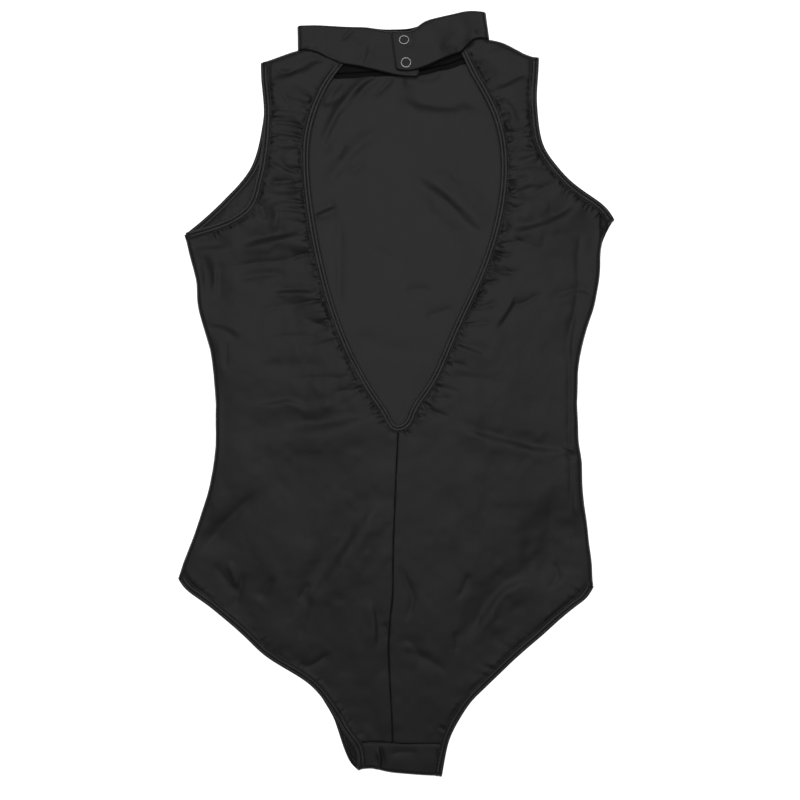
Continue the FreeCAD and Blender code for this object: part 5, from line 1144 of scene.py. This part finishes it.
G = gusset_sheet(1.7, 0.15, 3.0, gusset_z(8.1, 0.25, 61, 1), gusset_z(1.3, 0.2, 62, -1), 120, 42, 3.0)
V, F = thicken(G.reshape(-1, 3), grid_faces(*G.shape[:2]), 0.7)
gusset = add_mesh("crotch_gusset_cloth", V, F, M_BODY)
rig.ride(gusset, "leotard"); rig.replaces(gusset, "crotch_gusset"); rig.slot(gusset, "body_knit")
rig.sheet(gusset, flat=(0.095, 0.072), held="folded")
G = gusset_sheet(3.2, 1.6, 3.6, gusset_z(7.15, 0.12, 63, 1), gusset_z(2.15, 0.1, 64, -1), 56, 18, 1.9)
V, F = thicken(G.reshape(-1, 3), grid_faces(*G.shape[:2]), 0.5)
lining = add_mesh("gusset_lining_cloth", V, F, M_LINING)
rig.ride(lining, "leotard"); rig.replaces(lining, "gusset_lining"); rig.slot(lining, "lining")
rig.sheet(lining, flat=(0.090, 0.068), held="folded")


# ------------------------------------------------------------------ folded edge bindings
BIND_W = 7.0
PROFILE = [(0.0, 0.0), (0.03, 0.55), (0.16, 0.95), (0.5, 1.14), (1.1, 1.2), (1.9, 1.2), (2.35, 1.08), (2.55, 0.72), (2.78, 0.58), (3.0, 0.72), (3.2, 1.04),
           (3.7, 1.15), (4.5, 1.16), (5.2, 1.12), (5.45, 0.92), (5.6, 0.62), (5.8, 0.5), (6.0, 0.62), (6.15, 0.88), (6.5, 0.95), (6.9, 0.86), (7.1, 0.48)]
PROFILE = PROFILE + [(w, -h) for w, h in reversed(PROFILE[1:])]
PROF = np.array(PROFILE)


def sweep(P, W, N, S, seed, closed):
    """Rings of the folded strip along P, with W towards the cloth and N outward."""
    n = len(P)
    up = np.exp(-(((P[:, 0] + 42) / 14) ** 2 + ((P[:, 1] + 322) / 20) ** 2)) * (P[:, 2] < 2.5)
    P = P + np.c_[0 * up, 0 * up, 3.0 * up]
    W = W + np.c_[0 * up, 0 * up, -0.62 * up]
    W = W / np.linalg.norm(W, axis=1)[:, None]
    h = 1 + 0.10 * np.cos(2 * math.pi * S / 2.4) + 0.12 * noise2(S / 6.0, 0 * S, seed)
    wv = 1 + 0.035 * noise2(S / 9.0, 0 * S, seed + 5)
    lift = 0.22 * noise2(S / 14.0, 0 * S, seed + 9)
    tilt = 0.05 * noise2(S / 19.0, 0 * S, seed + 13)
    R = (P[:, None] + W[:, None] * (PROF[None, :, 0] * wv[:, None])[..., None]
         + N[:, None] * (PROF[None, :, 1] * h[:, None] + lift[:, None] + tilt[:, None] * PROF[None, :, 0])[..., None])
    m = R.shape[1]
    V = R.reshape(-1, 3)
    F = []
    for i in range(n if closed else n - 1):
        a, b = i * m, ((i + 1) % n) * m
        for j in range(m):
            k = (j + 1) % m
            F.append([a + j, a + k, b + k, b + j])
    if not closed:
        F.append(list(range(m - 1, -1, -1))); F.append([(n - 1) * m + j for j in range(m)])
    V = np.asarray(V)
    c = V.mean(0)
    return V, F, h, wv, lift, tilt


def stitches(P, W, N, S, h, wv, lift, tilt, closed):
    """Two rows of a cover stitch on each face of the strip."""
    out = []
    total = S[-1]
    for w0, hh in ((2.78, 0.66), (5.78, 0.58)):
        for face in (1, -1):
            q = np.arange(0.8 + (0.6 if w0 > 4 else 0), total - 0.8, 2.4)
            ip = lambda a: np.stack([np.interp(q, S, a[:, k]) for k in range(3)], 1)
            i1 = lambda a: np.interp(q, S, a)
            Pq, Wq, Nq = ip(P), ip(W), ip(N)
            jit = 0.08 * noise2(q * 3.1, 0 * q, 77)
            pos = Pq + Wq * ((w0 + jit) * i1(wv))[:, None] + Nq * (face * hh * i1(h) + i1(lift) + i1(tilt) * w0 + face * 0.02)[:, None]
            d = ip(np.gradient(P, axis=0))
            out.append(capsules(pos, d + Wq * 0.12 * np.linalg.norm(d, axis=1)[:, None], Nq * face, 1.45, 0.27))
    return merge(out)


def flip_if_inward(V, F):
    a = V[[f[0] for f in F]]; b = V[[f[1] for f in F]]; c = V[[f[2] for f in F]]
    vol = np.einsum("ij,ij->i", a, np.cross(b, c)).sum()
    for f in F:
        if len(f) == 4:
            vol += float(np.dot(V[f[0]], np.cross(V[f[2]], V[f[3]])))
    return [list(reversed(f)) for f in F] if vol < 0 else F


def binding_path_ring(back, front, side, depth=3.0, step=0.8, zb=8.0, zf=1.2):
    """Path of a closed strip: down the back edge, round the fold, up the front edge, round the other fold."""
    P, W, N = [], [], []
    zm, R = (zb + zf) / 2, (zb - zf) / 2

    def run(line, s0, s1, z, up):
        s = np.linspace(s0, s1, max(2, int(abs(s1 - s0) / step)))
        p, _, n = line.at(s)
        for a, b in zip(p, n):
            P.append([*a, z]); W.append([*(b * side), 0]); N.append([0, 0, up])

    def turn(pa, pb, na, nb, ta, tb, up):
        m = 9
        for j in range(1, m):
            a = math.pi * j / m
            t = (1 - math.cos(a)) / 2
            p = pa * (1 - t) + pb * t; d = ta * (1 - t) + tb * t; n = na * (1 - t) + nb * t
            d = d / np.hypot(*d); n = n - d * (n @ d); n = n / np.hypot(*n)
            q = p + d * depth * math.sin(a)
            P.append([*q, zm + up * R * math.cos(a)]); W.append([*(n * side), 0])
            k = np.array([*(d * math.sin(a)), up * math.cos(a)]); N.append(list(k))
    b0, t0, n0 = back.at([depth]); b1, t1, n1 = back.at([back.length - depth])
    f0, u0, m0 = front.at([depth]); f1, u1, m1 = front.at([front.length - depth])
    run(back, depth, back.length - depth, zb, 1)
    turn(b1[0], f1[0], n1[0], m1[0], t1[0], u1[0], 1)
    run(front, front.length - depth, depth, zf, -1)
    turn(f0[0], b0[0], m0[0], n0[0], -u0[0], -t0[0], -1)
    P, W, N = np.array(P), np.array(W), np.array(N)
    S = np.r_[0, np.cumsum(np.linalg.norm(np.diff(P, axis=0), axis=1))]
    return P, W, N, S


def binding_piece(name, P, W, N, S, closed, nodes, seed, flat):
    V, F, h, wv, lift, tilt = sweep(P, W, N, S, seed, closed)
    F = flip_if_inward(V, F)
    o = add_mesh(name, V, F, M_BIND)
    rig.ride(o, "leotard"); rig.replaces(o, *nodes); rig.slot(o, "binding_knit")
    V, F = stitches(P, W, N, S, h, wv, lift, tilt, closed)
    st = add_mesh(name + "_stitches", V, flip_if_inward(V, F), M_THREAD)
    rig.ride(st, "leotard"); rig.slot(st, "overlock_thread")
    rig.padded(o, fill=0.7)
    return o, st


for side_name, sgn, seed in (("left", -1, 101), ("right", 1, 131)):
    K = side_name[0].upper()
    P, W, N, S = binding_path_ring(L["ARM_BACK_" + K], L["ARM_FRONT_" + K], sgn)
    binding_piece(side_name + "_armhole_binding_strip", P, W, N, S, True, [side_name + "_armhole_binding", side_name + "_armhole_elastic"], seed, None)
    P, W, N, S = binding_path_ring(L["LEG_BACK_" + K], L["LEG_FRONT_" + K], sgn)
    binding_piece(side_name + "_leg_binding_strip", P, W, N, S, True, [side_name + "_leg_binding", side_name + "_leg_elastic"], seed + 11, None)

ln = L["OPENING"]
s = np.linspace(0, ln.length, int(ln.length / 0.8))
p, t, n = ln.at(s)
zz = np.full(len(s), 8.0)
P = np.c_[p, zz]; W = np.c_[n, 0 * s]; N = np.c_[0 * s, 0 * s, 0 * s + 1]
binding_piece("back_opening_binding_strip", P, W, N, s, False, ["back_opening_binding", "back_opening_elastic"], 171, None)


# ------------------------------------------------------------------ overlocked seam allowances, inside
def seam(name, key, side, d0, d1, z, node, thick=0.9, s0=0.0, s1=0.0, zfun=None):
    ln = L[key]
    s = np.arange(s0 + 0.5, ln.length - s1 - 0.5, 0.9)
    p, t, n = ln.at(s)
    prof = [(0, -0.5), (0.08, 0.0), (0, 0.5), (0.25, 0.5), (0.5, 0.46), (0.75, 0.5), (0.96, 0.42), (1.0, 0.0), (0.96, -0.42), (0.75, -0.5), (0.5, -0.46), (0.25, -0.5)]
    prof = [(0.0, -0.4), (0.0, 0.4), (0.2, 0.5), (0.5, 0.47), (0.8, 0.5), (0.97, 0.3), (0.97, -0.3), (0.8, -0.5), (0.5, -0.47), (0.2, -0.5)]
    pr = np.array(prof)
    wig = 0.25 * noise2(s / 7, 0 * s, 5) ; zw = 0.15 * noise2(s / 11, 0 * s, 6)
    zs = np.full(len(s), float(z)) if zfun is None else zfun(p)
    w = d0 + (d1 - d0) * pr[None, :, 0] + wig[:, None] * pr[None, :, 0]
    R = np.concatenate([p[:, None] + (n * side)[:, None] * w[..., None], (zs[:, None] + zw[:, None] + thick * pr[None, :, 1])[..., None]], axis=2)
    V, F = tube_loft(R)
    if key == "NECK_F":
        V = neck_lift(V)
    o = add_mesh(name, V, flip_if_inward(V, F), M_BODY)
    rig.ride(o, "leotard"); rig.replaces(o, node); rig.slot(o, "overlock_thread")
    q = np.arange(s0 + 1.2, ln.length - s1 - 1.2, 1.0)
    p, t, n = ln.at(q)
    zs = np.full(len(q), float(z)) if zfun is None else zfun(p)
    alt = np.where(np.arange(len(q)) % 2 == 0, 1.0, -1.0)
    mid = (d0 + d1) / 2
    out = []
    for face in (1, -1):
        pos = np.c_[p + n * side * mid, zs + face * thick * 0.5]
        D = np.c_[n * side * (d1 - d0) * 0.5 + t * alt[:, None] * 0.5, 0 * q]
        out.append(capsules(pos, D, np.tile([0, 0, float(face)], (len(q), 1)), (d1 - d0) * 0.98, 0.2))
    pos = np.c_[p + n * side * (d1 - 0.02), zs]
    D = np.c_[t * 0.2 * alt[:, None], np.ones(len(q))]
    out.append(capsules(pos, D, np.c_[n * side, 0 * q], thick * 1.1, 0.24))
    V, F = merge(out)
    if key == "NECK_F":
        V = neck_lift(V)
    th = add_mesh(name + "_thread", V, flip_if_inward(V, F), M_THREAD)
    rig.ride(th, "leotard"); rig.slot(th, "overlock_thread")
    # painted shade: the front neck seam allowance and its thread take the darkened inner cloth
    if key == "NECK_F":
        for q in (o, th):
            q.data.materials.clear(); q.data.materials.append(M_INNER)
    return o


seam("left_side_seam_allowance", "SIDE_L", -1, 1.6, 6.2, 4.6, "left_side_seam", s0=4, s1=4)
seam("right_side_seam_allowance", "SIDE_R", 1, 1.6, 6.2, 4.6, "right_side_seam", s0=4, s1=4)
seam("left_shoulder_seam_allowance", "SHOULDER_L", 1, 1.6, 5.8, 4.6, "left_shoulder_seam", s0=8, s1=1)
seam("right_shoulder_seam_allowance", "SHOULDER_R", -1, 1.6, 5.8, 4.6, "right_shoulder_seam", s0=8, s1=1)
seam("centre_back_seam_allowance", "CB_SEAM", 1, -0.4, 4.2, 6.55, "centre_back_seam", s0=7, s1=1)
seam("back_crotch_seam_allowance", "CROTCH_B", -1, 0.6, 4.6, 6.4, "back_crotch_seam", s0=8, s1=8)
seam("front_crotch_seam_allowance", "CROTCH_F", -1, 0.6, 4.6, 2.9, "front_crotch_seam", s0=8, s1=8)
seam("front_neck_seam_allowance", "NECK_F", 1, -0.3, 4.0, 2.3, "front_neck_seam", s0=5, s1=5)
seam("left_back_neck_seam_allowance", "NECK_L", 1, -3.6, 0.4, 7.2, "left_back_neck_seam", s0=4, s1=2)
seam("right_back_neck_seam_allowance", "NECK_R", 1, -3.6, 0.4, 7.6, "right_back_neck_seam", s0=2, s1=3)


# ------------------------------------------------------------------ collar
def resample(P, n, a=0.0, b=1.0):
    s = np.r_[0, np.cumsum(np.hypot(*np.diff(P, axis=0).T))]
    u = np.linspace(a * s[-1], b * s[-1], n)
    return np.c_[np.interp(u, s, P[:, 0]), np.interp(u, s, P[:, 1])]


TURN = 2.6
ZC_F, ZC_L, ZC_R = 1.05, 8.8, 12.5
nv = 30
LOW_L = np.r_[L["NECK_L"].P, L["COLLAR_LOW_L"].P[1:]]
LOW_R = np.r_[L["COLLAR_LOW_R"].P, L["NECK_R"].P[1:]]
TL, TR, TF = L["COLLAR_TOP_L"].P, L["COLLAR_TOP_R"].P, L["COLLAR_TOP_F"].P
BF = L["NECK_F"].P


def flat_part(top, low, n, a, b, zlow, ztop):
    t = resample(top, n, a, b); l = resample(low, n, a, b)
    v = np.linspace(0, 1, nv)
    P = l[:, None] * (1 - v)[None, :, None] + t[:, None] * v[None, :, None]
    zl = np.array([zlow(x) for x in l[:, 0]]); zt = np.array([ztop(x) for x in t[:, 0]])
    Z = zl[:, None] * (1 - v)[None] + zt[:, None] * v[None]
    return np.concatenate([P, Z[..., None]], axis=2)


def turn_part(A, B, out, depth, m=9):
    """From strip row A to strip row B round a half turn that bows towards out."""
    rows = []
    for j in range(1, m):
        a = math.pi * j / m
        t = (1 - math.cos(a)) / 2
        R = A * (1 - t) + B * t
        R[:, :2] += np.array(out) * depth * math.sin(a)
        rows.append(R)
    return np.array(rows)


def sm(a, b, x):
    return float(smooth(a, b, x))


left = flat_part(TL[::-1], LOW_L[::-1], 92, 0.0, 1 - TURN / 108, lambda x: ZC_L, lambda x: ZC_L)
frontp = flat_part(TF, BF, 130, TURN / 169, 1 - TURN / 169, lambda x: ZC_F, lambda x: ZC_F)
right = flat_part(TR[::-1], LOW_R[::-1], 76, TURN / 90, 1.0, lambda x: ZC_R - 2.3 * sm(38, 58, x) - 1.0 * sm(60, 70, x), lambda x: ZC_R - 2.2 * sm(42, 80, x))
tl = turn_part(left[-1], frontp[0], (-1, 0), TURN)
tr = turn_part(frontp[-1], right[0], (1, 0.1), TURN)


def band(name, S, up, body_call, nodes, seed, end_round=None):
    """up is the outward sign of the mid surface's own normal."""
    n, m = S.shape[:2]
    du = np.gradient(S, axis=0); dv = np.gradient(S, axis=1)
    N = np.cross(du, dv); N /= np.maximum(np.linalg.norm(N, axis=2), 1e-9)[..., None]
    N = N * up
    flatX = S[..., :2].reshape(-1, 2)
    w = creases(flatX, COLLAR_FOLDS) + 0.16 * noise2(flatX[:, 0] / 19, flatX[:, 1] / 13, seed) + 0.05 * noise2(flatX[:, 0] / 5, flatX[:, 1] / 4, seed + 1)
    w = w.reshape(n, m) * (N[..., 2] > 0.5) if name != "collar_front_band" else 0 * w.reshape(n, m)
    v = np.linspace(0, 1, m)
    s = np.minimum(v, 1 - v) * 35.0
    half = 0.92 * np.sqrt(np.clip(1 - (1 - np.clip(s / 1.5, 0, 1)) ** 2, 0, 1)) * (1 + 0.10 * np.exp(-((s - 2.4) / 1.6) ** 2))
    half = np.tile(half[None], (n, 1))
    for end in (0, -1):
        if end_round and end in end_round:
            d = np.linalg.norm(np.diff(S[:, m // 2], axis=0), axis=1)
            run = np.r_[0, np.cumsum(d)]
            run = run if end == 0 else run[-1] - run
            half = np.minimum(half, (0.92 * np.sqrt(np.clip(1 - (1 - np.clip(run / 1.5, 0, 1)) ** 2, 0, 1)))[:, None] + 0 * half)
    outer = S + N * (half + w)[..., None]
    inner = S - N * (half - w)[..., None]
    rings = np.concatenate([outer, inner[:, -2:0:-1]], axis=1)
    V, F = tube_loft(rings)
    if name == "collar_front_band":
        V = neck_lift(V)
    o = add_mesh(name, V, flip_if_inward(V, F), M_COLLAR)
    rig.slot(o, "collar_knit")
    return o


def corner_round(S, end, radius):
    """Rounds the two corners of the band's free end."""
    n, m = S.shape[:2]
    order = range(n) if end == 0 else range(n - 1, -1, -1)
    idx = list(order)
    length = np.r_[0, np.cumsum(np.linalg.norm(np.diff(S[idx][:, m // 2], axis=0), axis=1))]
    out = S.copy()
    for k, i in enumerate(idx):
        d = length[k]
        if d > radius:
            break
        cut = radius - math.sqrt(max(radius ** 2 - (radius - d) ** 2, 0.0))
        width = np.linalg.norm(S[i, -1] - S[i, 0])
        a = cut / width
        v = np.linspace(a, 1 - a, m)
        for c in range(3):
            out[i, :, c] = np.interp(v, np.linspace(0, 1, m), S[i, :, c])
    return out


cut_l = int(np.argmin(np.abs(frontp[:, 0, 0] + 70))); cut_r = int(np.argmin(np.abs(frontp[:, 0, 0] - 72)))
SL = np.concatenate([left, tl, frontp[:cut_l + 1]])
SF = frontp[cut_l:cut_r + 1]
SR = np.concatenate([frontp[cut_r:], tr, right])
SL = corner_round(SL, 0, 2.0)
SR = corner_round(SR, -1, 1.6)


def up_sign(S, i, want):
    du = S[i + 1, 5] - S[i, 5]; dv = S[i, 6] - S[i, 5]
    return 1 if np.cross(du, dv)[2] * want > 0 else -1


cf = band("collar_front_band", SF, up_sign(SF, 5, -1), None, None, 211)
cf.data.materials.append(M_INNER)  # second material: painted shade, a darker copy of the collar cloth for the inner face, which looks up
# faces that look up get the painted shade
for poly in cf.data.polygons:
    poly.material_index = 1 if poly.normal.z > 0.0 else 0
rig.ride(cf, "leotard")
cl = band("collar_left_band", SL, up_sign(SL, 5, 1), None, None, 221, end_round=(0,))
cr = band("collar_right_band", SR, up_sign(SR, len(SR) - 6, 1), None, None, 231, end_round=(-1,))
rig.blend(cl, "leotard", "collar_underlap", start=(-0.058, 0.311, 0.0088), end=(-0.034, 0.311, 0.0088))
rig.blend(cr, "leotard", "collar_overlap", start=(0.066, 0.323, 0.0125), end=(0.050, 0.323, 0.0125))
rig.replaces(cf, "collar_band", "collar_interfacing")
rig.replaces(cl, "collar_underlap_end", "underlap_interfacing")
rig.replaces(cr, "collar_overlap_end", "overlap_interfacing")
for o, f in ((cf, (0.16, 0.042)), (cl, (0.135, 0.045)), (cr, (0.11, 0.042))):
    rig.padded(o, fill=0.5)


# ------------------------------------------------------------------ snaps
def ring_piece(name, centres, z0, z1, ro, ri, node, body):
    parts = []
    for cx, cy in centres:
        R = (ro + ri) / 2; a = (ro - ri) / 2; hgt = (z1 - z0)
        sec = [(-a, -0.35), (-a * 0.96, 0.25), (-a * 0.7, 0.72), (-a * 0.3, 0.95), (a * 0.1, 1.0), (a * 0.55, 0.86), (a * 0.88, 0.5), (a, 0.05), (a, -0.35)]
        rings = []
        for k in range(72):
            th = 2 * math.pi * k / 72
            rings.append([[cx + (R + u) * math.cos(th), cy + (R + u) * math.sin(th), z0 + hgt * h] for u, h in sec])
        rings = np.array(rings)
        n, m = rings.shape[:2]
        V = rings.reshape(-1, 3)
        F = [[i * m + j, ((i + 1) % n) * m + j, ((i + 1) % n) * m + (j + 1) % m, i * m + (j + 1) % m] for i in range(n) for j in range(m)]
        parts.append((V, flip_if_inward(V, F)))
    V, F = merge(parts)
    o = add_mesh(name, V, F, M_RING)
    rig.ride(o, body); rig.replaces(o, node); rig.slot(o, "snap_metal")
    return o


SNAPS = [(6.75, 318.15), (8.55, 297.0)]
ring_piece("snap_ring_caps_rounded", SNAPS, 13.3, 14.2, 5.0, 3.25, "snap_ring_caps", "collar_overlap")
for n in ("snap_sockets", "snap_studs", "snap_stud_rings"):
    o = frame["nodes"][n]
    o.data.materials.clear(); o.data.materials.append(M_METAL)


# ------------------------------------------------------------------ floor, light and camera
me = bpy.data.meshes.new("floor")
me.from_pydata([(-6, -6, -0.0007), (6, -6, -0.0007), (6, 6, -0.0007), (-6, 6, -0.0007)], [], [(0, 1, 2, 3)])
floor = bpy.data.objects.new("floor", me)
bpy.context.scene.collection.objects.link(floor)
fm = bpy.data.materials.new("floor_white"); fm.use_nodes = True
fb = fm.node_tree.nodes["Principled BSDF"]
fb.inputs["Base Color"].default_value = (0.8, 0.8, 0.8, 1); fb.inputs["Roughness"].default_value = 0.9
fb.inputs["Emission Color"].default_value = (1, 1, 1, 1); fb.inputs["Emission Strength"].default_value = 0.95
me.materials.append(fm)
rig.stage(floor)

world = bpy.data.worlds.new("studio"); bpy.context.scene.world = world
world.use_nodes = True
world.node_tree.nodes["Background"].inputs["Color"].default_value = (1, 1, 1, 1)
world.node_tree.nodes["Background"].inputs["Strength"].default_value = WORLD


def area(name, loc, target, size, power):
    d = bpy.data.lights.new(name, "AREA"); d.shape = "RECTANGLE"; d.size, d.size_y = size; d.energy = power
    o = bpy.data.objects.new(name, d); bpy.context.scene.collection.objects.link(o)
    o.location = loc
    o.rotation_euler = (Vector(target) - Vector(loc)).to_track_quat("-Z", "Y").to_euler()
    return o


for nm, loc, size, power in LIGHTS:
    area(nm, loc, (0, 0, 0), size, power)

cam_d = bpy.data.cameras.new("camera"); cam_d.lens = 100; cam_d.sensor_width = 36; cam_d.clip_end = 50
cam = bpy.data.objects.new("camera", cam_d); bpy.context.scene.collection.objects.link(cam)
cam.location = (0.00324, -0.0053, 2.0035)
cam.rotation_euler = (0, 0, 0)
bpy.context.scene.camera = cam
bpy.context.scene.view_settings.view_transform = "Standard"

json.dump({"cad": CAD_BOX, "visual": [list(v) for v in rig.bounds()]}, open("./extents.json", "w"))
